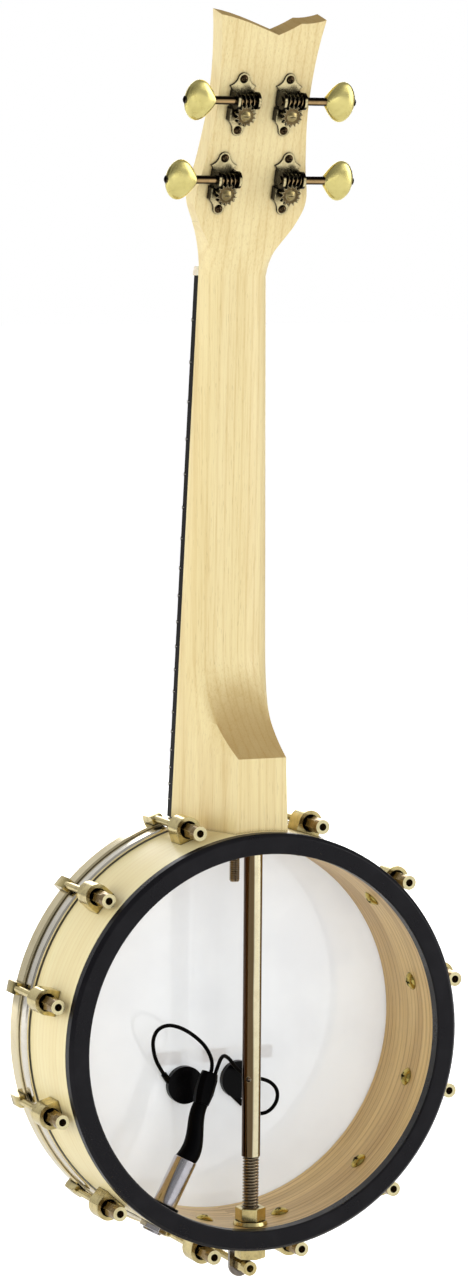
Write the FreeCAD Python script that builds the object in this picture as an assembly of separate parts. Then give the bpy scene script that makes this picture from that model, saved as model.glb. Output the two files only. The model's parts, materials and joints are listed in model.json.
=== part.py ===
"""A concert banjo ukulele: open-back pot, bolt-on neck, four geared tuners and a clip-free pickup.

The pot's axis is Y.  The back face of the pot lies on y = 0, the head faces -Y, the neck points
up along +Z and +X is to the right for someone looking at the head.  Everything is in millimetres.
"""
import FreeCAD, Part
import os
from math import atan2, cos, degrees, hypot, pi, radians, sin, sqrt, tan

V = FreeCAD.Vector
ORIGIN, AXIS_X, AXIS_Y, AXIS_Z = V(0, 0, 0), V(1, 0, 0), V(0, 1, 0), V(0, 0, 1)

# Pot
RIM_R = 101.0             # outer radius of the wooden rim: an eight-inch head
RIM_WALL = 9.2
RING_DEPTH = 6.5          # black cap ring on the back of the rim
RING_LIP = 0.8            # how far the cap ring stands in from the rim's inner wall
RING_BEVEL = 1.7
HEAD_DEPTH = 62.0         # from the back face to the inner side of the head
FILM = 0.3                # head thickness
BEARING_ROUND = 2.5       # round on the rim edge that the head bends over
SKIRT = 5.5               # how far the head comes down the side of the rim
FLESH_WALL = 1.9
FLESH_DEPTH = 8.2
FLESH_SET = 1.2           # how far the face where the hoops meet stands back from the head
HOOP_GAP = 0.4            # between head skirt and tension hoop
HOOP_WALL = 2.7
HOOP_DEPTH = 9.2
NOTCH_DEPTH = 3.6         # lowered part of the hoop under the strings

# Hooks, shoes and their fasteners
HOOK_COUNT = 12
HOOK_FIRST = 17.5         # angle of the first hook from the neck, degrees
HOOK_STEP = 30.0
HOOK_D = 3.6
HOOK_AIR = 0.2            # between hook shaft and hoop
CLAW_W = 5.8
CLAW_THICK = 2.4
CLAW_REACH = 3.2
SHOE_W = 12.4
SHOE_LEN = 11.0
SHOE_WALL = 2.0
SHOE_Y = -27.5            # middle of the shoe and of its screw
SHOE_SPIGOT_D = 6.0
SHOE_SPIGOT = 5.0
FIT = 0.1                 # clearance round pins, spigots and bolts in plain holes
NUT_AF = 6.4
NUT_TIP_Y = -8.0
NUT_ROUND = 4.2           # round end of a hook nut
SCREW_D = 4.0
SCREW_HEAD_D = 9.0
SCREW_HEAD_H = 2.3

# Coordinator rod and tail fittings
ROD_Y = -17.9
ROD_D = 9.0
ROD_THREAD_D = 7.9
ROD_THREAD_IN = 43.0      # from the rim's outside to the top of the thread
ROD_THREAD_OUT = 7.6      # thread outside the rim
THREAD_PITCH = 1.5
TOMMY_D = 2.6
TOMMY_Z = -20.0
TOMMY_TURN = 44.0         # degrees from straight back
ROD_NUT_AF = 13.0
ROD_NUT_H = 6.4
ROD_WASHER_D = 17.0
ROD_WASHER_H = 2.0
OUTER_NUT_H = 5.0
BRACKET_THICK = 1.8
BRACKET_W = 11.2
BRACKET_Y = -31.5         # front face of the hanging leg
TAIL_BOLT_OUT = 12.5      # from the rim to the tail bolt
TAIL_NUT_H = 12.2
LAG_D = 6.0
LAG_LEN = 30.0
STUD_BEHIND_HEAD = 22.0
STUD_D = 5.2
STUD_IN = 28.6            # from the rim's outside to the tip of the stud
STUD_NUT_AF = 9.0
STUD_NUT_H = 4.0

# Neck
BRIDGE_LOW = 17.0         # the bridge's distance below the pot's centre
NECK_LEN = 263.0          # from the rim to the nut
NECK_TILT = 2.6           # degrees
BOARD_BEHIND_HEAD = 7.4   # playing face of the fingerboard at the nut
BOARD_THICK = 5.0
BOARD_HALF_NUT = 17.1
BOARD_FLARE = 0.0276      # half-width gained for each millimetre away from the nut
BODY_GAP = 0.5            # between hoop and neck
FRETS = 19
FRET_W = 2.0
FRET_H = 0.9
TANG_W = 0.6
TANG_H = 1.8
NECK_DEPTH = 13.0         # wood behind the board at the nut
NECK_DEPTH_GAIN = 0.012   # extra depth for each millimetre towards the pot
HEEL_Y = -8.2             # flat back face of the heel
HEEL_LEN = 35.0           # from the rim to the top of the flat back
HEEL_HALF = 13.9
HEEL_HALF_TOP = 12.4
SHOULDER = 52.0           # length of the curve between heel and shaft
NUT_THICK = 4.5
NUT_RISE = 1.8
DOT_D = 5.0
SIDE_DOT_D = 2.0
DOT_DEPTH = 1.2
DOT_FRETS = (5, 7, 10, 12, 15)

# Headstock
HEAD_TILT = 16.8          # degrees
HEADSTOCK_THICK = 11.0
HEADSTOCK_OUTLINE = ((17.1, 0), (18.6, 9), (21.4, 18), (25.4, 27), (28.5, 35), (28.6, 41.5),
                     (26.9, 50), (25.1, 63), (23.8, 76), (23.5, 92), (24.4, 108))
CREST_CORNER = (26.9, 127.3)
CREST_NOTCH = (-3.4, 118.0)
CREST_PEAK = (-14.4, 123.7)
CREST_LOW_CORNER = (-26.9, 125.7)
CREST = ((CREST_CORNER, (17.7, 125.3), (6.1, 121.5), CREST_NOTCH),
         (CREST_NOTCH, (-8.2, 120.2), CREST_PEAK),
         (CREST_PEAK, (-20.1, 124.0), CREST_LOW_CORNER))
BLEND_TOP = 27.0          # height over the nut where the neck's round back has become flat

# Tuners: x and height on the headstock of each post
TUNERS = {"upper_right": (11.9, 81.0), "lower_right": (16.5, 42.5),
          "upper_left": (-11.9, 81.0), "lower_left": (-16.5, 42.5)}
TEETH = 14
WORM_PITCH = 2.11
WORM_R = 2.5              # pitch radius
ADDENDUM = 0.6
DEDENDUM = 0.8
TOOTH = 0.72              # tooth thickness at the pitch line of both worm and gear
TOOTH_SLOPE = 0.36        # flank slope
WORM_LEN = 8.6
WORM_H = 7.0              # worm axis above the headstock's back face
GEAR_W = 2.8
PLATE_THICK = 1.0
EAR_R = 4.1
EAR_THICK = 1.4
SHAFT_D = 4.0
SHAFT_FIT = 0.15
BUTTON_IN = 16.6          # from the post axis to the near end of the button
BUTTON_LEN = 15.0
BUTTON_H = 19.6
BUTTON_THICK = 7.0
BUTTON_BEVEL = 1.6
POST_D = 6.0
POST_OUT = 12.0           # post length in front of the headstock
POST_HOLE_D = 1.8
BUSHING_D = 8.6
BUSHING_FLANGE_D = 10.6
BUSHING_FLANGE = 1.4
BUSHING_LEN = 7.0
TOP_SCREW = 15.9          # plate screws, measured from the post
LOW_SCREW = -8.9
WOOD_SCREW_D = 2.0
WOOD_SCREW_HEAD_D = 4.2
WOOD_SCREW_LEN = 7.0

# Strings, bridge and tailpiece
STRING_D = 0.7
STRING_AT_NUT = 9.0       # spacing
STRING_AT_BRIDGE = 13.4
STRING_AT_TAIL = 7.4
BRIDGE_H = 14.4
BRIDGE_LEN = 62.0
BRIDGE_FOOT = 6.4
BRIDGE_TOP = 2.6
WIND_TURNS = 4
TAIL_THICK = 1.6
TAIL_IN = 14.0            # inner edge of the tailpiece, in from the rim's outside
TAIL_STRING_IN = 10.0     # string knots, in from the rim's outside

# Pickup
JACK_ANGLE = 152.5
JACK_Y = -26.0
JACK_R = 5.75
JACK_IN = 34.7            # from the rim's outside to the end of the barrel
JACK_THREAD_D = 9.5
JACK_BORE_D = 6.4
JACK_BORE = 30.0
JACK_WASHER_D = 15.0
JACK_WASHER = 1.4
JACK_NUT_AF = 12.0
JACK_NUT_H = 2.6
SPLIT_BASE = V(21.6, -29.2, -33.2)
SPLIT_TOP = V(15.8, -31.4, -18.6)
SPLIT_W = 9.4
SPLIT_DEEP = 5.6
DISC_R = 9.3
DISC_THICK = 3.2
DISC_RIGHT = (16.7, -30.1)
DISC_LEFT = (-12.0, -29.4)
LEAD_D = 1.9
NUB_D = 3.0
NUB_LEN = 6.5

# Values that follow from the ones above
RIM_IN = RIM_R - RIM_WALL
SKIRT_R = RIM_R + FILM
HOOP_R = SKIRT_R + HOOP_GAP + HOOP_WALL
FLESH_FRONT = HEAD_DEPTH - FLESH_SET
HOOP_FRONT = -(FLESH_FRONT + HOOP_DEPTH)
HEAD_FRONT = -(HEAD_DEPTH + FILM)
HOOK_R = HOOP_R + HOOK_AIR + HOOK_D / 2
SHOE_FRONT = SHOE_Y - SHOE_LEN / 2
NUT_SEAT = SHOE_FRONT + SHOE_WALL
ROD_THREAD_TOP = ROD_THREAD_IN - RIM_R
ROD_END = -RIM_R - ROD_THREAD_OUT
TAIL_BOLT_Z = -RIM_R - TAIL_BOLT_OUT
TAIL_IN_Z = TAIL_IN - RIM_R
TAIL_STRING_Z = TAIL_STRING_IN - RIM_R
STUD_Y = STUD_BEHIND_HEAD - HEAD_DEPTH
STUD_TIP_Z = RIM_R - STUD_IN
JACK_END = RIM_R - JACK_IN
HEEL_TOP_Z = RIM_R + HEEL_LEN
NUT_Z = RIM_R + NECK_LEN
SCALE = NUT_Z + BRIDGE_LOW
BOARD_Y = BOARD_BEHIND_HEAD - HEAD_DEPTH
TILT = radians(NECK_TILT)
STOCK_COS = cos(radians(HEAD_TILT))
STOCK_SIN = sin(radians(HEAD_TILT))
BOARD_BACK_NUT = BOARD_Y + BOARD_THICK / cos(TILT)
STOCK_BACK_Y = BOARD_BACK_NUT + HEADSTOCK_THICK / STOCK_COS
GEAR_R = TEETH * WORM_PITCH / (2 * pi)
CENTRE_DISTANCE = GEAR_R + WORM_R
LEAD_ANGLE = degrees(atan2(WORM_PITCH, 2 * pi * WORM_R))


def solid_from(points, push):
    """A closed outline of points, pushed along a vector."""
    return Part.Face(Part.makePolygon(list(points) + [points[0]])).extrude(push)


def turned(points):
    """A ring about the pot's axis from its (radius, depth) outline; depth counts from the back."""
    outline = [V(r, -depth, 0) for r, depth in points]
    return Part.Face(Part.makePolygon(outline + outline[:1])).revolve(ORIGIN, AXIS_Y, 360)


def rod(start, end, radius):
    return Part.makeCylinder(radius, (end - start).Length, start, end - start)


def hexagon(across_flats, start, end):
    """A hexagonal bar between two points, a flat facing sideways."""
    corner = across_flats / sqrt(3)
    bar = solid_from([V(corner * cos(radians(60 * k + 30)), corner * sin(radians(60 * k + 30)), 0)
                      for k in range(6)], V(0, 0, (end - start).Length))
    bar.Placement = FreeCAD.Placement(start, FreeCAD.Rotation(AXIS_Z, end - start))
    return bar


def fused(shapes):
    return shapes[0].multiFuse(shapes[1:]).removeSplitter() if len(shapes) > 1 else shapes[0]


def round_pot(shape, angle):
    """A copy of something built on the neck side of the pot, turned round the pot's axis."""
    copy = shape.copy()
    copy.rotate(ORIGIN, AXIS_Y, angle)
    return copy


def hook_angles():
    return [side * (HOOK_FIRST + HOOK_STEP * k) for side in (1, -1) for k in range(HOOK_COUNT // 2)]


def all_round(shape):
    return Part.makeCompound([round_pot(shape, angle) for angle in hook_angles()])


def dome(radius, height):
    """A screw or bolt head: a spherical cap on z = 0."""
    ball = (radius * radius + height * height) / (2 * height)
    return Part.makeSphere(ball, V(0, 0, height - ball)).common(Part.makeCylinder(radius, height))


def cross_slot(length, width, depth, top):
    bars = [Part.makeBox(length, width, depth, V(-length / 2, -width / 2, top - depth)),
            Part.makeBox(width, length, depth, V(-width / 2, -length / 2, top - depth))]
    return fused(bars)


def threaded(radius, z_low, z_high, pitch):
    """A threaded stud up the Z axis, its thread drawn as even grooves."""
    deep = 0.54 * pitch
    turns = int((z_high - z_low) / pitch)
    outline = [V(0, 0, z_low), V(radius - deep, 0, z_low)]
    for turn in range(turns):
        z = z_low + turn * pitch
        outline += [V(radius, 0, z + 0.4 * pitch), V(radius, 0, z + 0.6 * pitch),
                    V(radius - deep, 0, z + pitch)]
    outline += [V(radius - deep, 0, z_high), V(0, 0, z_high)]
    return Part.Face(Part.makePolygon(outline + outline[:1])).revolve(ORIGIN, AXIS_Z, 360)


def moved(shape, x, y, z):
    shape.translate(V(x, y, z))
    return shape


# ---- pot ----------------------------------------------------------------------------------------

def bearing_edge(radius, depth, bend):
    """Points of the round where the head bends down over the rim, from front to side."""
    centre = (radius - bend, depth - bend)
    return [(centre[0] + bend * sin(radians(a)), centre[1] + bend * cos(radians(a)))
            for a in range(0, 91, 15)]


def chord(radius, half_width):
    """Distance from the pot's axis to a flat that touches an inner wall with both its edges."""
    return sqrt(radius * radius - half_width * half_width)


def make_rim():
    wall = [(RIM_IN, RING_DEPTH), (RIM_R, RING_DEPTH)]
    edge = bearing_edge(RIM_R, HEAD_DEPTH, BEARING_ROUND)[::-1]
    inner = [(edge[-1][0] - 1.5, HEAD_DEPTH), (RIM_IN, HEAD_DEPTH - 2.4)]
    rim = turned(wall + edge + inner)
    inside, outside = V(0, SHOE_Y, RIM_IN - 5), V(0, SHOE_Y, RIM_R + 5)
    screw_hole = rod(inside, outside, SCREW_D / 2 + FIT)
    spigot_hole = rod(V(0, SHOE_Y, RIM_R - SHOE_SPIGOT - FIT), outside, SHOE_SPIGOT_D / 2 + FIT)
    holes = [round_pot(hole, a) for hole in (screw_hole, spigot_hole) for a in hook_angles()]
    holes.append(rod(V(0, ROD_Y, RIM_IN - 5), V(0, ROD_Y, RIM_R + 5), LAG_D / 2 + FIT))
    holes.append(rod(V(0, STUD_Y, RIM_IN - 5), V(0, STUD_Y, RIM_R + 5), STUD_D / 2 + FIT))
    holes.append(rod(V(0, ROD_Y, 5 - RIM_IN), V(0, ROD_Y, -RIM_R - 5), ROD_THREAD_D / 2 + FIT))
    jack = rod(V(0, JACK_Y, RIM_IN - 5), V(0, JACK_Y, RIM_R + 5), JACK_THREAD_D / 2 + FIT)
    holes.append(round_pot(jack, JACK_ANGLE))
    return rim.cut(holes)


def make_back_ring():
    inner = RIM_IN - RING_LIP
    return turned([(inner, RING_DEPTH), (RIM_R, RING_DEPTH), (RIM_R, RING_BEVEL),
                   (RIM_R - RING_BEVEL, 0), (inner + 0.6, 0), (inner, 0.6)])


def make_head():
    under = bearing_edge(RIM_R, HEAD_DEPTH, BEARING_ROUND)
    over = bearing_edge(SKIRT_R, HEAD_DEPTH + FILM, BEARING_ROUND + FILM)
    foot = HEAD_DEPTH - BEARING_ROUND - SKIRT
    return turned([(0, HEAD_DEPTH)] + under + [(RIM_R, foot), (SKIRT_R, foot)]
                  + over[::-1] + [(0, HEAD_DEPTH + FILM)])


def rounded_hoop(inner, outer, back, front, cut):
    return turned([(inner, back), (outer - cut, back), (outer, back + cut),
                   (outer, front - cut), (outer - cut, front), (inner, front)])


def make_flesh_hoop():
    return rounded_hoop(SKIRT_R, SKIRT_R + FLESH_WALL, FLESH_FRONT - FLESH_DEPTH, FLESH_FRONT, 0.7)


def make_tension_hoop():
    hoop = rounded_hoop(SKIRT_R + HOOP_GAP, HOOP_R, FLESH_FRONT, -HOOP_FRONT, 0.6)
    wide = 2 * (board_half(HOOP_R) + 1.5)
    notch = Part.makeBox(wide, NOTCH_DEPTH + 1, 40, V(-wide / 2, HOOP_FRONT - 1, HOOP_R - 30))
    return hoop.cut(notch)


# ---- hooks and shoes ----------------------------------------------------------------------------

def make_hook():
    inner, outer = HOOP_R + HOOK_AIR, HOOK_R + HOOK_D / 2
    front = HOOP_FRONT - CLAW_THICK
    side = [V(-CLAW_W / 2, y, z) for y, z in (
        (HOOP_FRONT + 10, inner), (HOOP_FRONT, inner), (HOOP_FRONT, HOOP_R - CLAW_REACH),
        (front, HOOP_R - CLAW_REACH), (front, outer - 2), (front + 0.6, outer - 0.6),
        (front + 2, outer), (HOOP_FRONT + 8.5, outer), (HOOP_FRONT + 10, outer - 0.8))]
    claw = solid_from(side, V(CLAW_W, 0, 0))
    shaft = rod(V(0, NUT_TIP_Y - 6, HOOK_R), V(0, HOOP_FRONT + 9, HOOK_R), HOOK_D / 2)
    return fused([claw, shaft])


def make_shoe():
    """A hollow D-shaped shoe: plate towards the head, open towards the back."""
    rise = HOOK_R - RIM_R
    half = SHOE_W / 2
    length = V(0, SHOE_LEN, 0)
    start = V(0, SHOE_FRONT, 0)
    body = fused([Part.makeBox(SHOE_W, SHOE_LEN, rise + 4, V(-half, SHOE_FRONT, RIM_R - 4)),
                  rod(start + V(0, 0, HOOK_R), start + V(0, 0, HOOK_R) + length, half)])
    room = rod(V(0, NUT_SEAT, HOOK_R), V(0, SHOE_FRONT + SHOE_LEN + 1, HOOK_R), half - SHOE_WALL)
    spigot = rod(V(0, SHOE_Y, RIM_R - SHOE_SPIGOT), V(0, SHOE_Y, RIM_R + 1), SHOE_SPIGOT_D / 2)
    pot = rod(V(0, 0, 0), V(0, -HEAD_DEPTH, 0), RIM_R)
    shoe = fused([body.cut(pot), spigot]).cut(room)
    hook_hole = rod(V(0, SHOE_FRONT - 1, HOOK_R), V(0, NUT_SEAT + 1, HOOK_R), HOOK_D / 2 + FIT)
    thread = rod(V(0, SHOE_Y, RIM_IN), V(0, SHOE_Y, RIM_R + 1), SCREW_D / 2)
    return shoe.cut([hook_hole, thread])


def tube_nut(across_flats, seat, tip, bore):
    """A long hexagonal nut with a round end; it runs along Y at the origin."""
    body = hexagon(across_flats, V(0, seat, 0), V(0, tip - NUT_ROUND, 0))
    collar = rod(V(0, tip - NUT_ROUND, 0), V(0, tip, 0), across_flats / 2 + 0.3)
    return fused([body, collar]).cut(rod(V(0, seat - 1, 0), V(0, tip + 1, 0), bore / 2))


def make_hook_nut():
    return moved(tube_nut(NUT_AF, NUT_SEAT, NUT_TIP_Y, HOOK_D), 0, 0, HOOK_R)


def make_shoe_screw():
    seat = chord(RIM_IN, SCREW_HEAD_D / 2)
    head = dome(SCREW_HEAD_D / 2, SCREW_HEAD_H).cut(cross_slot(3.6, 0.9, 1.3, SCREW_HEAD_H))
    head.rotate(ORIGIN, AXIS_X, 180)
    screw = fused([head, Part.makeCylinder(SCREW_D / 2, RIM_R - seat)])
    return moved(screw, 0, SHOE_Y, seat)


# ---- rod, studs and tail ------------------------------------------------------------------------

def make_rod():
    shaft = rod(V(0, 0, ROD_THREAD_TOP), V(0, 0, chord(RIM_IN, ROD_D / 2)), ROD_D / 2)
    thread = threaded(ROD_THREAD_D / 2, ROD_END, ROD_THREAD_TOP, THREAD_PITCH)
    body = fused([thread, shaft])
    tommy = rod(V(0, -ROD_D, TOMMY_Z), V(0, ROD_D, TOMMY_Z), TOMMY_D / 2)
    tommy.rotate(ORIGIN, AXIS_Z, -TOMMY_TURN)
    socket = rod(V(0, 0, RIM_IN - 12), V(0, 0, RIM_IN + 1), LAG_D / 2)
    return moved(body.cut([tommy, socket]), 0, ROD_Y, 0)


def make_lag():
    return rod(V(0, ROD_Y, RIM_IN - 12), V(0, ROD_Y, RIM_R + LAG_LEN), LAG_D / 2)


def nut_and_hole(across_flats, low, high, bore, y):
    nut = hexagon(across_flats, V(0, y, low), V(0, y, high))
    return nut.cut(rod(V(0, y, low - 1), V(0, y, high + 1), bore / 2))


def washer_top():
    return ROD_WASHER_H - chord(RIM_IN, ROD_WASHER_D / 2)


def make_rod_washer():
    low = washer_top() - ROD_WASHER_H
    disc = Part.makeCone(ROD_WASHER_D / 2, ROD_WASHER_D / 2 - 0.8, ROD_WASHER_H, V(0, ROD_Y, low))
    return disc.cut(rod(V(0, ROD_Y, low - 1), V(0, ROD_Y, low + 5), ROD_THREAD_D / 2))


def make_rod_inner_nut():
    return nut_and_hole(ROD_NUT_AF, washer_top(), washer_top() + ROD_NUT_H, ROD_THREAD_D, ROD_Y)


def make_rod_outer_nut():
    top = -RIM_R - BRACKET_THICK
    return nut_and_hole(ROD_NUT_AF, top - OUTER_NUT_H, top, ROD_THREAD_D, ROD_Y)


def make_heel_stud():
    return moved(threaded(STUD_D / 2, STUD_TIP_Z, RIM_R + LAG_LEN, 0.9), 0, STUD_Y, 0)


def make_heel_nut():
    top = chord(RIM_IN, STUD_NUT_AF / sqrt(3) + 1.2)
    nut = nut_and_hole(STUD_NUT_AF, top - 1.2 - STUD_NUT_H, top - 1.2, STUD_D, STUD_Y)
    washer = rod(V(0, STUD_Y, top - 1.2), V(0, STUD_Y, top), STUD_NUT_AF / sqrt(3) + 1.2)
    return fused([nut, washer.cut(rod(V(0, STUD_Y, 0), V(0, STUD_Y, RIM_R), STUD_D / 2))])


def make_tail_bracket():
    half, deep = BRACKET_W / 2, -RIM_R - BRACKET_THICK
    foot = Part.makeBox(BRACKET_W, ROD_Y + half - BRACKET_Y, BRACKET_THICK, V(-half, BRACKET_Y, deep))
    hang_end = TAIL_BOLT_Z - 0.9
    hang = Part.makeBox(BRACKET_W, BRACKET_THICK, -RIM_R - hang_end, V(-half, BRACKET_Y, hang_end))
    end = rod(V(0, BRACKET_Y, hang_end), V(0, BRACKET_Y + BRACKET_THICK, hang_end), half)
    holes = [rod(V(0, ROD_Y, -RIM_R - 9), V(0, ROD_Y, -RIM_R + 1), ROD_THREAD_D / 2 + FIT),
             rod(V(0, BRACKET_Y - 1, TAIL_BOLT_Z), V(0, ROD_Y, TAIL_BOLT_Z), HOOK_D / 2 + FIT)]
    return fused([foot, hang, end]).cut(holes)


def tail_nut_seat():
    return BRACKET_Y + BRACKET_THICK


def make_tail_nut():
    nut = tube_nut(NUT_AF, tail_nut_seat(), tail_nut_seat() + TAIL_NUT_H, HOOK_D)
    return moved(nut, 0, 0, TAIL_BOLT_Z)


def make_tail_bolt():
    top = HOOP_FRONT - TAIL_THICK
    shaft = rod(V(0, top, 0), V(0, tail_nut_seat() + TAIL_NUT_H - 5, 0), HOOK_D / 2)
    head = dome(NUT_AF / 2 + 0.4, 2.4)
    head.rotate(ORIGIN, AXIS_X, 90)
    return moved(fused([shaft, moved(head, 0, top, 0)]), 0, 0, TAIL_BOLT_Z)


def string_places(spacing):
    return [spacing * (k - 1.5) for k in range(4)]


def make_tailpiece():
    """A flat plate on the hoop, held by the tail bolt; the string knots rest on its inner end."""
    wide, narrow = 1.5 * STRING_AT_TAIL + 4.5, NUT_AF
    low = TAIL_BOLT_Z - narrow + 0.8
    curve = Part.BSplineCurve()
    right = [V(wide, HOOP_FRONT, TAIL_IN_Z), V(wide - 0.6, HOOP_FRONT, TAIL_IN_Z - 8),
             V(narrow + 1.6, HOOP_FRONT, TAIL_BOLT_Z + 6), V(narrow, HOOP_FRONT, TAIL_BOLT_Z - 1),
             V(0, HOOP_FRONT, low)]
    curve.interpolate(right + [V(-p.x, p.y, p.z) for p in right[-2::-1]])
    top = Part.makeLine(V(-wide, HOOP_FRONT, TAIL_IN_Z), V(wide, HOOP_FRONT, TAIL_IN_Z))
    plate = Part.Face(Part.Wire([curve.toShape(), top])).extrude(V(0, -TAIL_THICK, 0))
    cuts = [rod(V(0, HOOP_FRONT - 5, TAIL_BOLT_Z), V(0, HOOP_FRONT + 1, TAIL_BOLT_Z), HOOK_D / 2 + FIT)]
    return plate.cut(cuts)


# ---- neck ---------------------------------------------------------------------------------------

def board_front(z):
    return BOARD_Y + (z - NUT_Z) * tan(TILT)


def board_back(z):
    return board_front(z) + BOARD_THICK / cos(TILT)


def board_half(z):
    return BOARD_HALF_NUT + BOARD_FLARE * (NUT_Z - z)


def spline(points):
    curve = Part.BSplineCurve()
    curve.interpolate(points)
    return curve.toShape()


def closed_section(points, first, last):
    """A neck section from its back outline: the side, the back, the other side, the flat front."""
    sides = [points[:first + 1], points[first:last + 1], points[last:]]
    edges = [spline(side) for side in sides] + [Part.makeLine(points[-1], points[0])]
    return Part.Wire(edges)


def blend_section(z, front, half, depth, block_half, block_front_half, mix):
    """A section between a round back (mix 0) and a square one (mix 1)."""
    steps, corner = 16, 4
    points = []
    for k in range(steps + 1):
        a = pi * k / steps
        round_x, round_y = half * cos(a), front + depth * sin(a) ** 0.92
        if k <= corner:
            share = k / corner
            square_x = block_front_half + (block_half - block_front_half) * share
            square_y = front + depth * share
        elif k < steps - corner:
            square_x = block_half * (1 - 2 * (k - corner) / (steps - 2 * corner))
            square_y = front + depth
        else:
            share = (steps - k) / corner
            square_x = -block_front_half - (block_half - block_front_half) * share
            square_y = front + depth * share
        points.append(V(round_x + (square_x - round_x) * mix, round_y + (square_y - round_y) * mix, z))
    return closed_section(points, corner, steps - corner)


def neck_depth(z):
    """Wood behind the fingerboard, from the shaft down the shoulder to the heel's flat back."""
    shaft = NECK_DEPTH + NECK_DEPTH_GAIN * (NUT_Z - z)
    share = max(0.0, min(1.0, 1 - (z - HEEL_TOP_Z) / SHOULDER))
    return shaft + (HEEL_Y - board_back(z) - shaft) * share ** 2.1


def neck_section(z):
    share = max(0.0, min(1.0, 1 - (z - HEEL_TOP_Z) / SHOULDER))
    up_heel = max(0.0, min(1.0, (z - RIM_R) / HEEL_LEN))
    back_half = HEEL_HALF + (HEEL_HALF_TOP - HEEL_HALF) * up_heel
    return blend_section(z, board_back(z), board_half(z), neck_depth(z), back_half, board_half(z),
                         share ** 2)


def outline_half(height):
    """Half-width of the headstock at a height above the nut, read off its outline."""
    for (x0, s0), (x1, s1) in zip(HEADSTOCK_OUTLINE, HEADSTOCK_OUTLINE[1:]):
        if height <= s1:
            return x0 + (x1 - x0) * max(0.0, height - s0) / (s1 - s0)
    return HEADSTOCK_OUTLINE[-1][0]


def stock_section(rise):
    """A level section through the start of the headstock, a rise above the nut."""
    share = rise / (BLEND_TOP * STOCK_COS)
    mix = share * share * (3 - 2 * share)
    front = BOARD_BACK_NUT + rise * STOCK_SIN / STOCK_COS
    depth = NECK_DEPTH + (HEADSTOCK_THICK / STOCK_COS - NECK_DEPTH) * share
    back_half = outline_half(rise / STOCK_COS)
    front_half = outline_half(max(0, rise / STOCK_COS - HEADSTOCK_THICK * STOCK_SIN))
    half = front_half + (back_half - front_half) * share
    return blend_section(NUT_Z + rise, front, half, depth, back_half, front_half, mix)


def on_headstock(shape):
    """Moves a shape from headstock axes (x, out of the back, up) to its place."""
    shape.rotate(ORIGIN, AXIS_X, -HEAD_TILT)
    return moved(shape, 0, STOCK_BACK_Y, NUT_Z)


def headstock_slab():
    other_side = tuple((-x, s) for x, s in HEADSTOCK_OUTLINE)
    curves = (HEADSTOCK_OUTLINE + (CREST_CORNER,),) + CREST
    curves += ((CREST_LOW_CORNER,) + other_side[::-1],)
    edges = [spline([V(x, 0, s) for x, s in curve]) for curve in curves]
    foot = Part.makeLine(V(-HEADSTOCK_OUTLINE[0][0], 0, 0), V(HEADSTOCK_OUTLINE[0][0], 0, 0))
    face = Part.Face(Part.Wire(edges + [foot]))
    slab = on_headstock(face.extrude(V(0, -HEADSTOCK_THICK, 0)))
    start = NUT_Z + BLEND_TOP * STOCK_COS
    return slab.common(Part.makeBox(200, 200, 200, V(-100, -150, start - 0.01)))


def tuner_holes():
    holes = []
    for x, height in TUNERS.values():
        front = -HEADSTOCK_THICK
        holes.append(rod(V(x, 1, height), V(x, front - 1, height), POST_D / 2 + 3 * FIT))
        holes.append(rod(V(x, front - 1, height), V(x, front + BUSHING_LEN, height), BUSHING_D / 2))
        for offset in (TOP_SCREW, LOW_SCREW):
            low = V(x, PLATE_THICK - WOOD_SCREW_LEN, height + offset)
            holes.append(rod(low, V(x, 1, height + offset), WOOD_SCREW_D / 2))
    return [on_headstock(hole) for hole in holes]


def make_neck():
    shaft_low = HEEL_TOP_Z + SHOULDER
    heights = [HEEL_TOP_Z + SHOULDER * share for share in (0, 0.1, 0.22, 0.36, 0.52, 0.7, 0.86, 1)]
    shoulder = Part.makeLoft([neck_section(z) for z in heights], True, False)
    shaft = Part.makeLoft([neck_section(z) for z in (shaft_low, NUT_Z)], True, True)
    heel = Part.makeLoft([neck_section(z) for z in (RIM_R - 12, HEEL_TOP_Z)], True, True)
    rises = [BLEND_TOP * STOCK_COS * share for share in (0, 0.25, 0.5, 0.75, 1)]
    blend = Part.makeLoft([stock_section(rise) for rise in rises], True, False)
    neck = fused([heel, shoulder, shaft, blend, headstock_slab()])
    pot = rod(V(0, 10, 0), V(0, -100, 0), RIM_R)
    step = FLESH_FRONT - FLESH_DEPTH - BODY_GAP
    hoops = rod(V(0, -step, 0), V(0, -100, 0), HOOP_R + BODY_GAP)
    studs = [rod(V(0, y, RIM_R - 5), V(0, y, RIM_R + LAG_LEN), d / 2)
             for y, d in ((ROD_Y, LAG_D), (STUD_Y, STUD_D))]
    return neck.cut([pot, hoops] + studs + tuner_holes())


def on_board(shape):
    """Tilts something built on an upright fingerboard to the neck's angle."""
    shape.rotate(V(0, BOARD_Y, NUT_Z), AXIS_X, -NECK_TILT)
    return shape


def fret_places():
    places = [NUT_Z - SCALE * (1 - 2 ** (-n / 12)) for n in range(1, FRETS + 1)]
    return [z for z in places if z > HOOP_R + FRET_W]


def fret(z, width, height, depth, shape_only=False):
    half = board_half(z)
    tang = Part.makeBox(2 * half, depth, width, V(-half, BOARD_Y, z - width / 2))
    if shape_only:
        return tang
    squash = FreeCAD.Matrix()
    squash.scale(V(1, height, FRET_W / 2))
    crown = Part.makeCylinder(1, 2 * half, V(-half, 0, 0), AXIS_X).transformGeometry(squash)
    crown = moved(crown, 0, BOARD_Y, z)
    above = Part.makeBox(2 * half + 2, height + 1, FRET_W + 1,
                         V(-half - 1, BOARD_Y - height - 1, z - FRET_W / 2 - 0.5))
    return fused([crown.common(above), tang])


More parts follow.
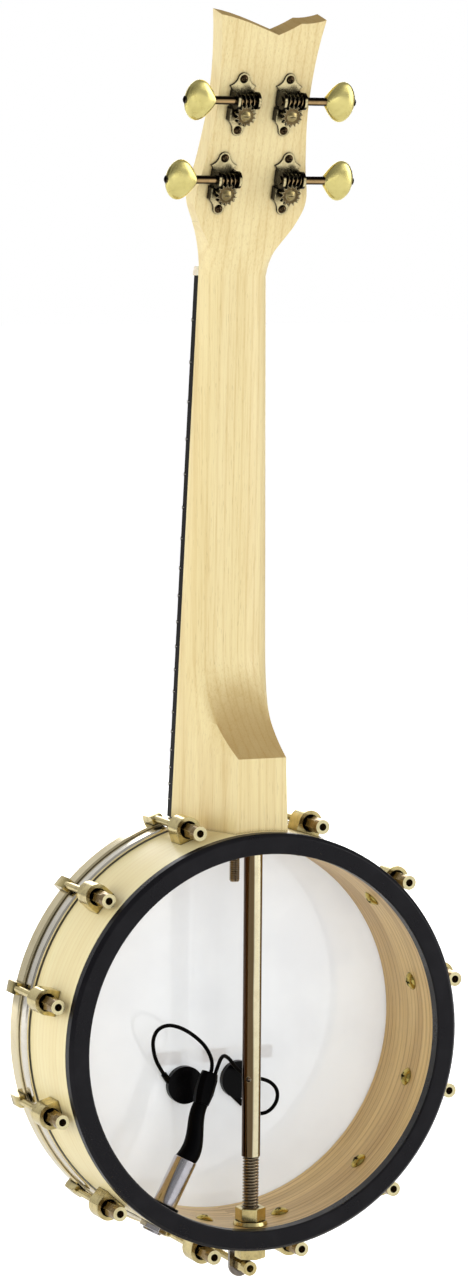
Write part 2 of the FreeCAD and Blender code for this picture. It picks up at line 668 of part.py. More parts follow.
def dots():
    """Playing-face dots and side dots, as upright cylinders in the fingerboard."""
    places = [NUT_Z] + fret_places()
    found = []
    for n in DOT_FRETS:
        middle = (places[n] + places[n - 1]) / 2
        for x in ((-6, 6) if n == 12 else (0,)):
            found.append(rod(V(x, BOARD_Y, middle), V(x, BOARD_Y + DOT_DEPTH, middle), DOT_D / 2))
        edge, y = board_half(middle), BOARD_Y + BOARD_THICK / 2
        for shift in ((-3, 3) if n == 12 else (0,)):
            z = middle + shift
            found.append(rod(V(-board_half(z), y, z), V(DOT_DEPTH - edge, y, z), SIDE_DOT_D / 2))
    return found


def make_fretboard():
    low = HOOP_R - 10
    corners = [V(side * board_half(z), BOARD_Y, z) for side, z in
               ((1, low), (1, NUT_Z), (-1, NUT_Z), (-1, low))]
    board = solid_from(corners, V(0, BOARD_THICK, 0))
    slots = [fret(z, TANG_W, 0, TANG_H, True) for z in fret_places()]
    board = on_board(board.cut(slots + dots()))
    return board.cut(rod(V(0, -40, 0), V(0, -100, 0), HOOP_R + BODY_GAP))


def make_frets():
    return on_board(Part.makeCompound([fret(z, TANG_W, FRET_H, TANG_H) for z in fret_places()]))


def make_markers():
    pieces = dots()
    board_edges = [V(side * board_half(z), BOARD_Y, z) for side, z in
                   ((1, HOOP_R - 10), (1, NUT_Z), (-1, NUT_Z), (-1, HOOP_R - 10))]
    block = solid_from(board_edges, V(0, BOARD_THICK, 0))
    return on_board(Part.makeCompound([piece.common(block) for piece in pieces]))


def nut_slot_y():
    return BOARD_Y - FRET_H - 0.4


def make_nut():
    half = BOARD_HALF_NUT
    top = BOARD_Y - NUT_RISE
    side = [V(-half, y, z) for y, z in (
        (BOARD_BACK_NUT, NUT_Z), (top, NUT_Z), (top, NUT_Z + 1.4),
        (top + 1.6, NUT_Z + NUT_THICK), (BOARD_BACK_NUT, NUT_Z + NUT_THICK))]
    nut = solid_from(side, V(2 * half, 0, 0))
    floor, fall = nut_slot_y() + STRING_D / 2, 0.34 * NUT_THICK
    slot = [V(0, y, z) for y, z in ((floor, NUT_Z - 1), (floor, NUT_Z + 0.7), (floor + fall, NUT_Z + 5.2),
                                    (top - 1, NUT_Z + 5.2), (top - 1, NUT_Z - 1))]
    wide = STRING_D + 4 * FIT
    slots = [moved(solid_from(slot, V(wide, 0, 0)), x - wide / 2, 0, 0)
             for x in string_places(STRING_AT_NUT)]
    nut = nut.cut(slots)
    wood = [Part.makeBox(2 * half + 4, 30, 20, V(-half - 2, BOARD_BACK_NUT, NUT_Z))]
    stock = on_headstock(Part.makeBox(80, 20, 40, V(-40, -HEADSTOCK_THICK, -10)))
    return nut.cut(wood + [stock])


# ---- tuners -------------------------------------------------------------------------------------
# A tuner is built with its post on the local Y axis, its worm above it along local X, the back
# face of the headstock on local y = 0, and its button towards +X.

def arc(a, b, c):
    return Part.Arc(V(*a), V(*b), V(*c)).toShape()


def half_plate_edges(sign):
    """One side of the base plate's outline, from the top lobe down to the bottom lobe."""
    top, low = TOP_SCREW, LOW_SCREW
    points = [(2.7, top + 1.0), (4.2, top - 1.9), (6.8, top - 3.4), (5.7, top - 4.4), (5.4, top - 6.2),
              (5.4, 2.4), (6.4, 2.4), (6.4, low + 5.0), (4.2, low + 3.4), (2.7, low - 0.6)]
    p = [(sign * x, 0, z) for x, z in points]
    return [arc(p[0], p[1], p[2]), arc(p[2], p[3], p[4]), Part.makeLine(V(*p[4]), V(*p[5])),
            Part.makeLine(V(*p[5]), V(*p[6])), Part.makeLine(V(*p[6]), V(*p[7])),
            arc(p[7], p[8], p[9])]


def tuner_plate():
    top, low = TOP_SCREW, LOW_SCREW
    lobes = [arc((-2.7, 0, top + 1.0), (0, 0, top + 2.9), (2.7, 0, top + 1.0)),
             arc((-2.7, 0, low - 0.6), (0, 0, low - 2.7), (2.7, 0, low - 0.6))]
    outline = Part.Wire(Part.__sortEdges__(half_plate_edges(1) + half_plate_edges(-1) + lobes))
    base = Part.Face(outline).extrude(V(0, PLATE_THICK, 0))
    pieces = [base]
    inner = WORM_LEN / 2 + 0.2
    for side in (1, -1):
        x = side * inner if side > 0 else -inner - EAR_THICK
        pieces.append(Part.makeCylinder(EAR_R, EAR_THICK, V(x, WORM_H, CENTRE_DISTANCE), AXIS_X))
        pieces.append(Part.makeBox(EAR_THICK, WORM_H, 2 * EAR_R - 2, V(x, 0, CENTRE_DISTANCE - EAR_R + 1)))
        tab_x = 5.5 if side > 0 else -6.4
        pieces.append(Part.makeBox(0.9, 4.4, 2.2 - LOW_SCREW - 5.2, V(tab_x, 0, LOW_SCREW + 5.2)))
    plate = fused(pieces)
    holes = [rod(V(-20, WORM_H, CENTRE_DISTANCE), V(20, WORM_H, CENTRE_DISTANCE), SHAFT_D / 2 + SHAFT_FIT),
             rod(V(0, -1, 0), V(0, PLATE_THICK + 1, 0), POST_D / 2 + SHAFT_FIT)]
    holes += [rod(V(0, -1, z), V(0, 3, z), WOOD_SCREW_D / 2) for z in (top, low)]
    return plate.cut(holes)


def wood_screw():
    head = dome(WOOD_SCREW_HEAD_D / 2, 1.4).cut(cross_slot(2.4, 0.6, 0.8, 1.4))
    screw = fused([head, moved(Part.makeCylinder(WOOD_SCREW_D / 2, WOOD_SCREW_LEN), 0, 0, -WOOD_SCREW_LEN)])
    screw.rotate(ORIGIN, AXIS_X, -90)
    return moved(screw, 0, PLATE_THICK, 0)


def bushing():
    front = -HEADSTOCK_THICK
    sleeve = rod(V(0, front, 0), V(0, front + BUSHING_LEN, 0), BUSHING_D / 2)
    flange = rod(V(0, front - BUSHING_FLANGE, 0), V(0, front, 0), BUSHING_FLANGE_D / 2)
    bore = rod(V(0, front - 5, 0), V(0, 0, 0), POST_D / 2 + SHAFT_FIT)
    return fused([sleeve, flange]).cut(bore)


def worm_thread():
    """One helical thread round the local Z axis, clipped to the worm's length."""
    root, tip = WORM_R - DEDENDUM, WORM_R + ADDENDUM
    low, high = TOOTH / 2 + DEDENDUM * TOOTH_SLOPE, TOOTH / 2 - ADDENDUM * TOOTH_SLOPE
    height = WORM_LEN + 3 * WORM_PITCH
    start = -height / 2
    sunk = root - 0.15
    sunk_half = low + 0.15 * TOOTH_SLOPE
    outline = Part.makePolygon([V(sunk, 0, start - sunk_half), V(tip, 0, start - high),
                                V(tip, 0, start + high), V(sunk, 0, start + sunk_half),
                                V(sunk, 0, start - sunk_half)])
    path = Part.Wire(moved(Part.makeHelix(WORM_PITCH, height, WORM_R), 0, 0, start))
    thread = path.makePipeShell([outline], True, True)
    slab = Part.makeCylinder(tip + 1, WORM_LEN, V(0, 0, -WORM_LEN / 2))
    return thread.common(slab)


def worm_shaft():
    """Worm, shaft and the riveted end that holds the button."""
    core = Part.makeCylinder(WORM_R - DEDENDUM, WORM_LEN, V(0, 0, -WORM_LEN / 2))
    inner, outer = -WORM_LEN / 2 - EAR_THICK - 0.9, BUTTON_IN + BUTTON_LEN
    arbor = Part.makeCylinder(SHAFT_D / 2, WORM_LEN / 2 - inner, V(0, 0, inner))
    arbor = arbor.cut(Part.makeCylinder(SHAFT_D, WORM_LEN, V(0, 0, -WORM_LEN / 2)))
    shank = Part.makeCylinder(SHAFT_D / 2, BUTTON_IN - WORM_LEN / 2, V(0, 0, WORM_LEN / 2))
    pin = Part.makeCylinder(SHAFT_D / 2 - 0.6, BUTTON_LEN, V(0, 0, BUTTON_IN))
    rivet = moved(dome(1.9, 0.8), 0, 0, outer)
    shaft = fused([core, worm_thread(), arbor, shank, pin, rivet])
    shaft.rotate(ORIGIN, AXIS_Y, 90)
    return moved(shaft, 0, WORM_H, CENTRE_DISTANCE)


def button():
    """An oval, bevelled button round the end of the worm shaft."""
    half_long, half_high = BUTTON_LEN / 2, BUTTON_H / 2
    middle = V(BUTTON_IN + half_long, WORM_H, CENTRE_DISTANCE)
    oval = Part.Ellipse(ORIGIN, half_high, half_long).toShape()
    oval.rotate(ORIGIN, AXIS_X, 90)
    oval.rotate(ORIGIN, AXIS_Y, 90)
    body = Part.Face(Part.Wire(oval)).extrude(V(0, BUTTON_THICK, 0))
    rims = [edge for edge in body.Edges if edge.Length > BUTTON_H]
    body = body.makeChamfer(BUTTON_BEVEL, rims)
    body = moved(body, middle.x, middle.y - BUTTON_THICK / 2, middle.z)
    neck_end = V(BUTTON_IN, WORM_H, CENTRE_DISTANCE)
    collar = Part.makeCone(3.0, 3.4, 3.5, neck_end, AXIS_X)
    hole = rod(neck_end - V(1, 0, 0), neck_end + V(BUTTON_LEN + 1, 0, 0), SHAFT_D / 2 - 0.6)
    return fused([body, collar]).cut(hole)


def gear():
    """A wheel with straight teeth set at the worm's lead angle."""
    root, tip = GEAR_R - DEDENDUM, GEAR_R + ADDENDUM
    middle = V(0, WORM_H, 0)
    base = middle - V(0, GEAR_W / 2, 0)
    wheel = Part.makeCylinder(root, GEAR_W, base, AXIS_Y)
    low, high = TOOTH / 2 + DEDENDUM * TOOTH_SLOPE, TOOTH / 2 - ADDENDUM * TOOTH_SLOPE
    sunk = root - 0.4
    reach = GEAR_W
    profile = [V(-low, -reach, sunk), V(-low, -reach, root), V(-high, -reach, tip),
               V(high, -reach, tip), V(low, -reach, root), V(low, -reach, sunk)]
    tooth = solid_from(profile, V(0, 2 * reach, 0))
    tooth.rotate(ORIGIN, AXIS_Z, -LEAD_ANGLE)
    tooth = moved(tooth, 0, WORM_H, 0)
    teeth = []
    for k in range(TEETH):
        copy = tooth.copy()
        copy.rotate(middle, AXIS_Y, 360 * k / TEETH)
        teeth.append(copy)
    slab = Part.makeCylinder(tip + 1, GEAR_W, base, AXIS_Y)
    toothed = fused([wheel] + teeth).common(slab)
    return toothed.cut(rod(base - V(0, 1, 0), base + V(0, GEAR_W + 1, 0), 1.6))


def gear_screw():
    top = WORM_H + GEAR_W / 2
    head = dome(2.6, 1.0).cut(Part.makeBox(6, 0.7, 0.6, V(-3, -0.35, 0.5)))
    head.rotate(ORIGIN, AXIS_X, -90)
    return fused([moved(head, 0, top, 0), rod(V(0, top - 5, 0), V(0, top, 0), 1.2)])


def post():
    front = -HEADSTOCK_THICK - POST_OUT
    gear_back = WORM_H - GEAR_W / 2
    shaft = rod(V(0, front, 0), V(0, PLATE_THICK + 1.2, 0), POST_D / 2)
    shoulder = rod(V(0, PLATE_THICK + 1.2, 0), V(0, gear_back, 0), POST_D / 2 + 0.6)
    square = rod(V(0, gear_back, 0), V(0, gear_back + GEAR_W, 0), 1.6)
    hole = rod(V(-9, string_depth(), 0), V(9, string_depth(), 0), POST_HOLE_D / 2)
    screw = rod(V(0, WORM_H + GEAR_W / 2 - 5, 0), V(0, WORM_H + GEAR_W, 0), 1.2)
    return fused([shaft, shoulder, square]).cut([hole, screw])


def string_depth():
    """Depth, in headstock axes, at which a string meets its post."""
    return -HEADSTOCK_THICK - BUSHING_FLANGE - 5.0


def place_tuner(shape, place):
    """Puts a local tuner piece on its side of the headstock; left tuners are mirror images."""
    x, height = TUNERS[place]
    copy = shape.copy() if x > 0 else shape.mirror(ORIGIN, AXIS_X)
    return on_headstock(moved(copy, x, 0, height))


# ---- strings and bridge -------------------------------------------------------------------------

def bridge_top():
    return HEAD_FRONT - BRIDGE_H


def make_bridge():
    """Two-footed bridge, thick at the head and thin at the strings."""
    z, half = NUT_Z - SCALE, BRIDGE_LEN / 2
    base, top = HEAD_FRONT, bridge_top()
    foot, thin = BRIDGE_FOOT / 2, BRIDGE_TOP / 2
    profile = [V(-half, base, z - foot), V(-half, base, z + foot),
               V(-half, top, z + thin), V(-half, top, z - thin)]
    blank = solid_from(profile, V(2 * half, 0, 0))
    shape = [(half, base), (half - 13, base), (half - 16, base - 3.4), (9, base - 3.4),
             (6.5, base), (-6.5, base), (-9, base - 3.4), (16 - half, base - 3.4), (13 - half, base),
             (-half, base), (-half, base - 2.6), (-22.5, top + 0.6), (-22, top), (22, top),
             (22.5, top + 0.6), (half, base - 2.6)]
    front = solid_from([V(x, y, z - 10) for x, y in shape], V(0, 0, 20))
    slots = [rod(V(x, top, z - 5), V(x, top, z + 5), STRING_D / 2 + 2 * FIT)
             for x in string_places(STRING_AT_BRIDGE)]
    return blank.common(front).cut(slots)


def string_points(place):
    """Where a string bends: tailpiece, bridge, nut and post."""
    x_post, height = TUNERS[place]
    side = 1 if x_post > 0 else -1
    number = {"lower_left": 0, "upper_left": 1, "upper_right": 2, "lower_right": 3}[place]
    tail_y = HOOP_FRONT - TAIL_THICK - STRING_D / 2
    wind = POST_D / 2 + SHAFT_FIT + STRING_D / 2
    x_end = x_post - side * wind
    end = V(x_end, STOCK_BACK_Y + height * STOCK_SIN + string_depth() * STOCK_COS,
            NUT_Z + height * STOCK_COS - string_depth() * STOCK_SIN)
    return [V(string_places(STRING_AT_TAIL)[number], tail_y, TAIL_STRING_Z),
            V(string_places(STRING_AT_BRIDGE)[number], bridge_top(), NUT_Z - SCALE),
            V(string_places(STRING_AT_NUT)[number], nut_slot_y(), NUT_Z + 0.7), end]


def make_string(place):
    points = string_points(place)
    pieces = [rod(a, b, STRING_D / 2) for a, b in zip(points, points[1:])]
    pieces += [Part.makeSphere(STRING_D / 2, p) for p in points[1:-1]]
    pieces.append(Part.makeSphere(1.0, points[0] - V(0, 0.8, 0.6)))
    x, height = TUNERS[place]
    ring_r = POST_D / 2 + SHAFT_FIT + STRING_D / 2
    rings = []
    for turn in range(WIND_TURNS):
        depth = string_depth() + (turn - (WIND_TURNS - 1) / 2) * 0.92 * STRING_D
        rings.append(Part.makeTorus(ring_r, STRING_D / 2, V(x, depth, height), AXIS_Y))
    return fused(pieces + [on_headstock(fused(rings))])


# ---- pickup -------------------------------------------------------------------------------------

def jack_line(radius):
    a = radians(JACK_ANGLE)
    return V(radius * sin(a), JACK_Y, radius * cos(a))


def make_jack():
    seat = chord(RIM_IN, JACK_WASHER_D / 2) - JACK_WASHER
    end = RIM_R + JACK_NUT_H + 1.2
    barrel = [rod(jack_line(JACK_END), jack_line(seat), JACK_R),
              rod(jack_line(seat), jack_line(end), JACK_THREAD_D / 2)]
    bore = rod(jack_line(end + 1), jack_line(end - JACK_BORE), JACK_BORE_D / 2)
    return fused(barrel).cut(bore)


def make_jack_washer():
    top = chord(RIM_IN, JACK_WASHER_D / 2)
    ring = rod(jack_line(top - JACK_WASHER), jack_line(top), JACK_WASHER_D / 2)
    return ring.cut(rod(jack_line(top - 5), jack_line(top + 5), JACK_THREAD_D / 2))


def make_jack_nut():
    nut = hexagon(JACK_NUT_AF, jack_line(RIM_R), jack_line(RIM_R + JACK_NUT_H))
    return nut.cut(rod(jack_line(RIM_R - 1), jack_line(RIM_R + 9), JACK_THREAD_D / 2))


def circle(centre, normal, radius):
    return Part.Wire(Part.Circle(centre, normal, radius).toShape())


def make_boot():
    """Shrunk sleeve from the back of the jack to the splitter."""
    start = jack_line(JACK_END)
    way_out = (jack_line(JACK_END - 10) - start).normalize()
    way_in = (SPLIT_TOP - SPLIT_BASE).normalize()
    rings = [circle(start, way_out, JACK_R - 0.5), circle(start + way_out * 9, way_out, 4.7),
             circle(SPLIT_BASE - way_in * 7, way_in, 3.9), circle(SPLIT_BASE, way_in, 3.6)]
    return Part.makeLoft(rings, True, False)


def split_axes():
    along = (SPLIT_TOP - SPLIT_BASE).normalize()
    across = along.cross(AXIS_Y).normalize()
    return along, across, across.cross(along).normalize()


def make_splitter():
    along, across, deep = split_axes()
    length = (SPLIT_TOP - SPLIT_BASE).Length

    def ring(share, width, depth):
        centre = SPLIT_BASE + along * (length * share)
        corners = []
        for sx, sy in ((0.55, 1), (1, 0.4), (1, -0.4), (0.55, -1), (-0.55, -1), (-1, -0.4),
                       (-1, 0.4), (-0.55, 1)):
            corners.append(centre + across * (sx * width / 2) + deep * (sy * depth / 2))
        return Part.makePolygon(corners + corners[:1])
    return Part.makeLoft([ring(0, 7.4, 7.4), ring(0.35, SPLIT_W, 6.6), ring(0.8, SPLIT_W, SPLIT_DEEP),
                          ring(1, SPLIT_W - 1.6, SPLIT_DEEP - 0.8)], True, True)


def on_way(x, share, z):
    """A point inside the pot, a share of the way forward from the splitter's tip to the head."""
    return V(x, SPLIT_TOP.y - (HEAD_DEPTH + SPLIT_TOP.y) * share, z)


def lead_points():
    """Routes of the two leads, chosen by hand, from the splitter to the discs."""
    along, across, _ = split_axes()
    first = SPLIT_TOP + across * 0.4
    second = SPLIT_TOP + across * 2.9
    right = [first, first + along * 4.4, on_way(15.0, 0.199, -7.6), on_way(20.2, 0.301, -2.0),
             on_way(26.4, 0.366, 2.0), on_way(32.4, 0.418, 3.6), on_way(37.2, 0.487, 1.4),
             on_way(38.4, 0.588, -4.3), on_way(36.4, 0.703, -11.4), on_way(32.9, 0.810, -18.2),
             on_way(28.3, 0.899, -23.9)]
    left = [second, second + along * 4.2, on_way(6.6, 0.196, -11.6), on_way(1.6, 0.301, -14.6),
            on_way(-3.0, 0.392, -20.0), on_way(-9.2, 0.458, -24.6), on_way(-16.6, 0.484, -26.6),
            on_way(-23.2, 0.497, -28.9), on_way(-27.8, 0.542, -34.0), on_way(-28.4, 0.634, -40.8),
            on_way(-24.6, 0.745, -46.4), on_way(-18.2, 0.850, -46.4), on_way(-14.0, 0.922, -41.8)]
    return right, left


def cord_tube(points, radius):
    """A tube along straight runs joined by tangent arcs as large as the runs allow."""
    edges, here, radii = [], points[0], []
    for before, point, after in zip(points, points[1:], points[2:]):
        back, ahead = before - point, after - point
        short = min(back.Length, ahead.Length)
        turn = pi - back.getAngle(ahead)
        bend = 0.45 * short / tan(turn / 2)
        cut = 0.45 * short
        back.normalize()
        ahead.normalize()
        start, end = point + back * cut, point + ahead * cut
        middle_way = (back + ahead).normalize()
        middle = point + middle_way * (hypot(bend, cut) - bend)
        edges += [Part.makeLine(here, start), Part.Arc(start, middle, end).toShape()]
        here = end
        radii.append(round(bend, 1))
    edges.append(Part.makeLine(here, points[-1]))
    path = Part.Wire(edges)
    tube = path.makePipeShell([circle(points[0], points[1] - points[0], radius)], True, True)
    share = tube.Volume / (path.Length * pi * radius * radius)
    print("lead length", round(path.Length, 1), "bend radii", radii, "volume share", round(share, 3))
    return tube


def pickup_disc(place, points):
    """A round piezo pad on the head, with a short nub that its lead goes into."""
    x, z = place
    disc = rod(V(x, -HEAD_DEPTH, z), V(x, DISC_THICK - HEAD_DEPTH, z), DISC_R)
    end = points[-1]
    way = (end - points[-2]).normalize()
    nub = rod(end, end + way * NUB_LEN, NUB_D / 2)
    room = Part.makeBox(300, 60, 300, V(-150, -HEAD_DEPTH, -150))
    return fused([disc, nub.common(room)])


# ---- all pieces ---------------------------------------------------------------------------------

def root_parts():
    right, left = lead_points()
    yield "rim", make_rim()
    yield "back_ring", make_back_ring()
    yield "head", make_head()
    yield "flesh_hoop", make_flesh_hoop()
    yield "tension_hoop", make_tension_hoop()
    yield "hook_bolts", all_round(make_hook())
    yield "bracket_shoes", all_round(make_shoe())
    yield "hook_nuts", all_round(make_hook_nut())
    yield "shoe_screws", all_round(make_shoe_screw())
    yield "coordinator_rod", make_rod()
    yield "rod_lag_stud", make_lag()
    yield "rod_washer", make_rod_washer()
    yield "rod_inner_nut", make_rod_inner_nut()
    yield "rod_outer_nut", make_rod_outer_nut()
    yield "heel_stud", make_heel_stud()
    yield "heel_stud_nut", make_heel_nut()
    yield "tail_bracket", make_tail_bracket()
    yield "tail_bolt", make_tail_bolt()
    yield "tail_nut", make_tail_nut()
    yield "tailpiece", make_tailpiece()
    yield "neck", make_neck()
    yield "fretboard", make_fretboard()
    yield "frets", make_frets()
    yield "fret_markers", make_markers()
    yield "nut", make_nut()
    yield "bridge", make_bridge()
    yield "strings", Part.makeCompound([make_string(place) for place in TUNERS])
    yield "jack_barrel", make_jack()
    yield "jack_washer", make_jack_washer()
    yield "jack_nut", make_jack_nut()
    yield "jack_boot", make_boot()
    yield "lead_splitter", make_splitter()
    yield "pickup_discs", Part.makeCompound([pickup_disc(DISC_RIGHT, right), pickup_disc(DISC_LEFT, left)])
    yield "lead_right", cord_tube(right, LEAD_D / 2)
    yield "lead_left", cord_tube(left, LEAD_D / 2)


def tuner_parts():
    plate, sleeve, screw = tuner_plate(), bushing(), wood_screw()
    screws = [moved(screw.copy(), 0, 0, height) for height in (TOP_SCREW, LOW_SCREW)]
    yield "tuner_plates", Part.makeCompound([place_tuner(plate, place) for place in TUNERS])
    yield "post_bushings", Part.makeCompound([place_tuner(sleeve, place) for place in TUNERS])
    yield "plate_screws", Part.makeCompound([place_tuner(s, place) for place in TUNERS for s in screws])
    moving = {"worm_shaft": worm_shaft(), "button": button(), "gear": gear(),
              "gear_screw": gear_screw(), "string_post": post()}
    for place in TUNERS:
        for name, shape in moving.items():
            yield name + "_" + place, place_tuner(shape, place)


def main():
    os.makedirs("parts", exist_ok=True)
    for make in (root_parts, tuner_parts):
        for name, shape in make():
            shape.exportStep("parts/" + name + ".step")
            print(name, len(shape.Solids), shape.isValid(), round(shape.Volume, 1))


main()
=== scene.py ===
# %% [markdown]
# # A small four-string banjo, finished in Blender
# The banjo was built first as solid parts in a CAD program. This lesson loads those parts
# as a fixed frame, rounds their edges, gives each one the surface it has on the real
# instrument, and lights it like a product on a white table.

# %% Load the frame
import json
from math import cos, pi, radians, sin

import bmesh
import bpy
from mathutils import Matrix, Vector

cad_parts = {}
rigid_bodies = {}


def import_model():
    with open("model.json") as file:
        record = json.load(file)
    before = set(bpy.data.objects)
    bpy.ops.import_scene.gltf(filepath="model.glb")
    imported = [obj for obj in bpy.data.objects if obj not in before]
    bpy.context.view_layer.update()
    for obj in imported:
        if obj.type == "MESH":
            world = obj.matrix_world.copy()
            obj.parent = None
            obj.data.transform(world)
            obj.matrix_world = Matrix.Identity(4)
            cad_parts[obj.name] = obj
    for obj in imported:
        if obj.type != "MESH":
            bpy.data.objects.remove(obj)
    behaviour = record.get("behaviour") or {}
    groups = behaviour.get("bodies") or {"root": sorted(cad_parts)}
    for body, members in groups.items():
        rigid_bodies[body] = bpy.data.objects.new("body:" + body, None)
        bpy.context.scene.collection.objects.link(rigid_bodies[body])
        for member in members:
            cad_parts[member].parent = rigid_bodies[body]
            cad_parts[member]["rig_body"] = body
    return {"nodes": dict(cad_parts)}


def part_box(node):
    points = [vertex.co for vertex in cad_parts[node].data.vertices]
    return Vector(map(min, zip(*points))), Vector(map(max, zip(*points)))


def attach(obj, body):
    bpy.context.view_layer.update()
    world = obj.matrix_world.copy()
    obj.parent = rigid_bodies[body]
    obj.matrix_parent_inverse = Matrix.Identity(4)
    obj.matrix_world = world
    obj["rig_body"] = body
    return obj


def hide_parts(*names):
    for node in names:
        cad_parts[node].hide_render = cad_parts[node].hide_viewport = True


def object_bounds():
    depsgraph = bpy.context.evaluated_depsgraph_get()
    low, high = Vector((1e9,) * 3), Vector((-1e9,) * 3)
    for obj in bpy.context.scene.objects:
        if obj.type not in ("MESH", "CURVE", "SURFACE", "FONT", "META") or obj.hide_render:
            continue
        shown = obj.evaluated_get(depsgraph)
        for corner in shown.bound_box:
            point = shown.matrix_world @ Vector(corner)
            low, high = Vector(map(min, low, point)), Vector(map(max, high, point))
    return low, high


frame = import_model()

cad_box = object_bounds()
mm = 0.001
nodes = frame["nodes"]

# %% [markdown]
# ## The camera
# The view decides which details matter, so the camera comes first. It stands about two
# metres behind the instrument, a little to one side, with a long lens: a long lens keeps
# the neck straight and the pot round. A camera looks along its own -Z, so its matrix has
# the right, up and backward directions as columns.

# %% Place the camera
right = Vector((-0.9149, 0.4036, 0.0078))
up = Vector((-0.0339, -0.0962, 0.9948))
ahead = Vector((-0.4023, -0.9098, -0.1017))
camera = bpy.data.objects.new("camera", bpy.data.cameras.new("camera"))
bpy.context.scene.collection.objects.link(camera)
bpy.context.scene.camera = camera
turn = Matrix((right, up, -ahead)).transposed().to_4x4()
camera.matrix_world = Matrix.Translation((0.8686, 1.9219, 0.4080)) @ turn
camera.data.lens, camera.data.sensor_width = 125.80, 36.0
camera.data.clip_start, camera.data.clip_end = 0.05, 60.0
print("camera distance:", round((camera.location - Vector((0, 0, 0.19))).length, 3), "m")

# %% [markdown]
# ## The two pickup leads
# A soft lead is one length of thin rubber-coated wire. A curve with a round bevel is the
# honest way to make it: the control points are where the lead is led, and a NURBS spline
# of order three runs smoothly between them, as a limp wire does. Each lead starts in the
# splitter at the end of the pickup's sleeve and ends in the side of its black disc.

# %% A helper that lays a lead
lead_diameter = 1.9 * mm


def lead(name, points, replaced):
    """A round limp wire along the points (mm)."""
    line = bpy.data.curves.new(name, "CURVE")
    line.dimensions, line.resolution_u = "3D", 10
    line.bevel_depth, line.bevel_resolution, line.use_fill_caps = 1.0, 5, True
    spline = line.splines.new("NURBS")
    spline.points.add(len(points) - 1)
    for spot, place in zip(spline.points, points):
        spot.co, spot.radius = (*(Vector(place) * mm), 1.0), lead_diameter / 2
    spline.order_u, spline.use_endpoint_u = 3, True
    piece = bpy.data.objects.new(name, line)
    bpy.context.scene.collection.objects.link(piece)
    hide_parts(replaced)
    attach(piece, "banjo")
    return piece


split_base, split_top = Vector((21.6, -29.2, -33.2)), Vector((15.8, -31.4, -18.6))
along = (split_top - split_base).normalized()
across = along.cross(Vector((0, 1, 0))).normalized()

# %% Lay both leads
right_start = split_top + across * 0.4
right_lead = lead("pickup_lead_right", [
    right_start, right_start + along * 4.4, (15.0, -37.5, -7.6), (20.2, -40.6, -2.0),
    (26.4, -42.6, 2.0), (32.4, -44.2, 3.6), (37.2, -46.3, 1.4), (38.4, -49.4, -4.3),
    (36.4, -52.9, -11.4), (32.9, -56.2, -18.2), (28.3, -58.9, -23.9)], "lead_right")
left_start = split_top + across * 2.9
left_lead = lead("pickup_lead_left", [
    left_start, left_start + along * 4.2, (6.6, -37.4, -11.6), (1.6, -40.6, -14.6),
    (-3.0, -43.4, -20.0), (-9.2, -45.4, -24.6), (-16.6, -46.2, -26.6),
    (-23.2, -46.6, -28.9), (-27.8, -48.0, -34.0), (-28.4, -50.8, -40.8),
    (-24.6, -54.2, -46.4), (-18.2, -57.4, -46.4), (-14.0, -59.6, -41.8)], "lead_left")
print("leads:", right_lead.name, left_lead.name)

# %% [markdown]
# ## The studio
# The table is a wide plain sheet, pale enough to run out to white. Soft light from large
# panels on every side shows wood kindly. Metal only looks like metal when it has
# something dark to reflect too, so the world around the table is not even: seen in a
# reflection it has a bright wide window on one side and a dark wall on the other.

# %% Lay the table
floor_mesh = bpy.data.meshes.new("table")
reach, gap_below = 14.0, 12 * mm
table_top = cad_box[0].z - gap_below
floor_mesh.from_pydata([(x, y, table_top) for x, y in
                        ((-reach, -reach), (reach, -reach), (reach, reach), (-reach, reach))],
                       [], [(0, 1, 2, 3)])
table = bpy.data.objects.new("table", floor_mesh)
bpy.context.scene.collection.objects.link(table)
white_paper = bpy.data.materials.new("white paper")
white_paper.use_nodes = True
paper = white_paper.node_tree.nodes["Principled BSDF"]
paper.inputs["Base Color"].default_value = (0.93, 0.93, 0.93, 1)
paper.inputs["Roughness"].default_value = 0.9
paper.inputs["Emission Color"].default_value = (1, 1, 1, 1)
lit = white_paper.node_tree.nodes.new("ShaderNodeLightPath")
lift = white_paper.node_tree.nodes.new("ShaderNodeMapRange")
lift.inputs["To Min"].default_value, lift.inputs["To Max"].default_value = 0.08, 0.66
white_paper.node_tree.links.new(lit.outputs["Is Camera Ray"], lift.inputs["Value"])
white_paper.node_tree.links.new(lift.outputs[0], paper.inputs["Emission Strength"])
floor_mesh.materials.append(white_paper)
print("table top at", round(table_top / mm, 1), "mm")


# %% Hang the soft panels
def panel(name, azimuth, height, distance, size, watts, in_metal=True):
    """A rectangular light beside the instrument, aimed at its middle."""
    light = bpy.data.lights.new(name, "AREA")
    light.shape, light.size, light.size_y = "RECTANGLE", size[0], size[1]
    light.energy = watts
    lamp = bpy.data.objects.new(name, light)
    bpy.context.scene.collection.objects.link(lamp)
    a = radians(azimuth)
    lamp.location = Vector((sin(a) * distance, -cos(a) * distance, height))
    aim = Vector((0, -0.03, 0.19)) - lamp.location
    lamp.rotation_mode = "QUATERNION"
    lamp.rotation_quaternion = aim.to_track_quat("-Z", "Y")
    lamp.visible_glossy = in_metal
    return lamp


panels = [panel("key", 172, 0.55, 2.2, (1.6, 1.2), 18.4, False),
          panel("left", 84, 0.40, 1.7, (1.0, 1.4), 11.8, False),
          panel("window", 242, 0.45, 1.7, (1.1, 1.8), 9),
          panel("front", 335, 0.75, 1.8, (1.3, 1.3), 15),
          panel("front fill", 35, 0.5, 1.8, (1.0, 1.3), 7, False)]
print("panels:", [p.name for p in panels])


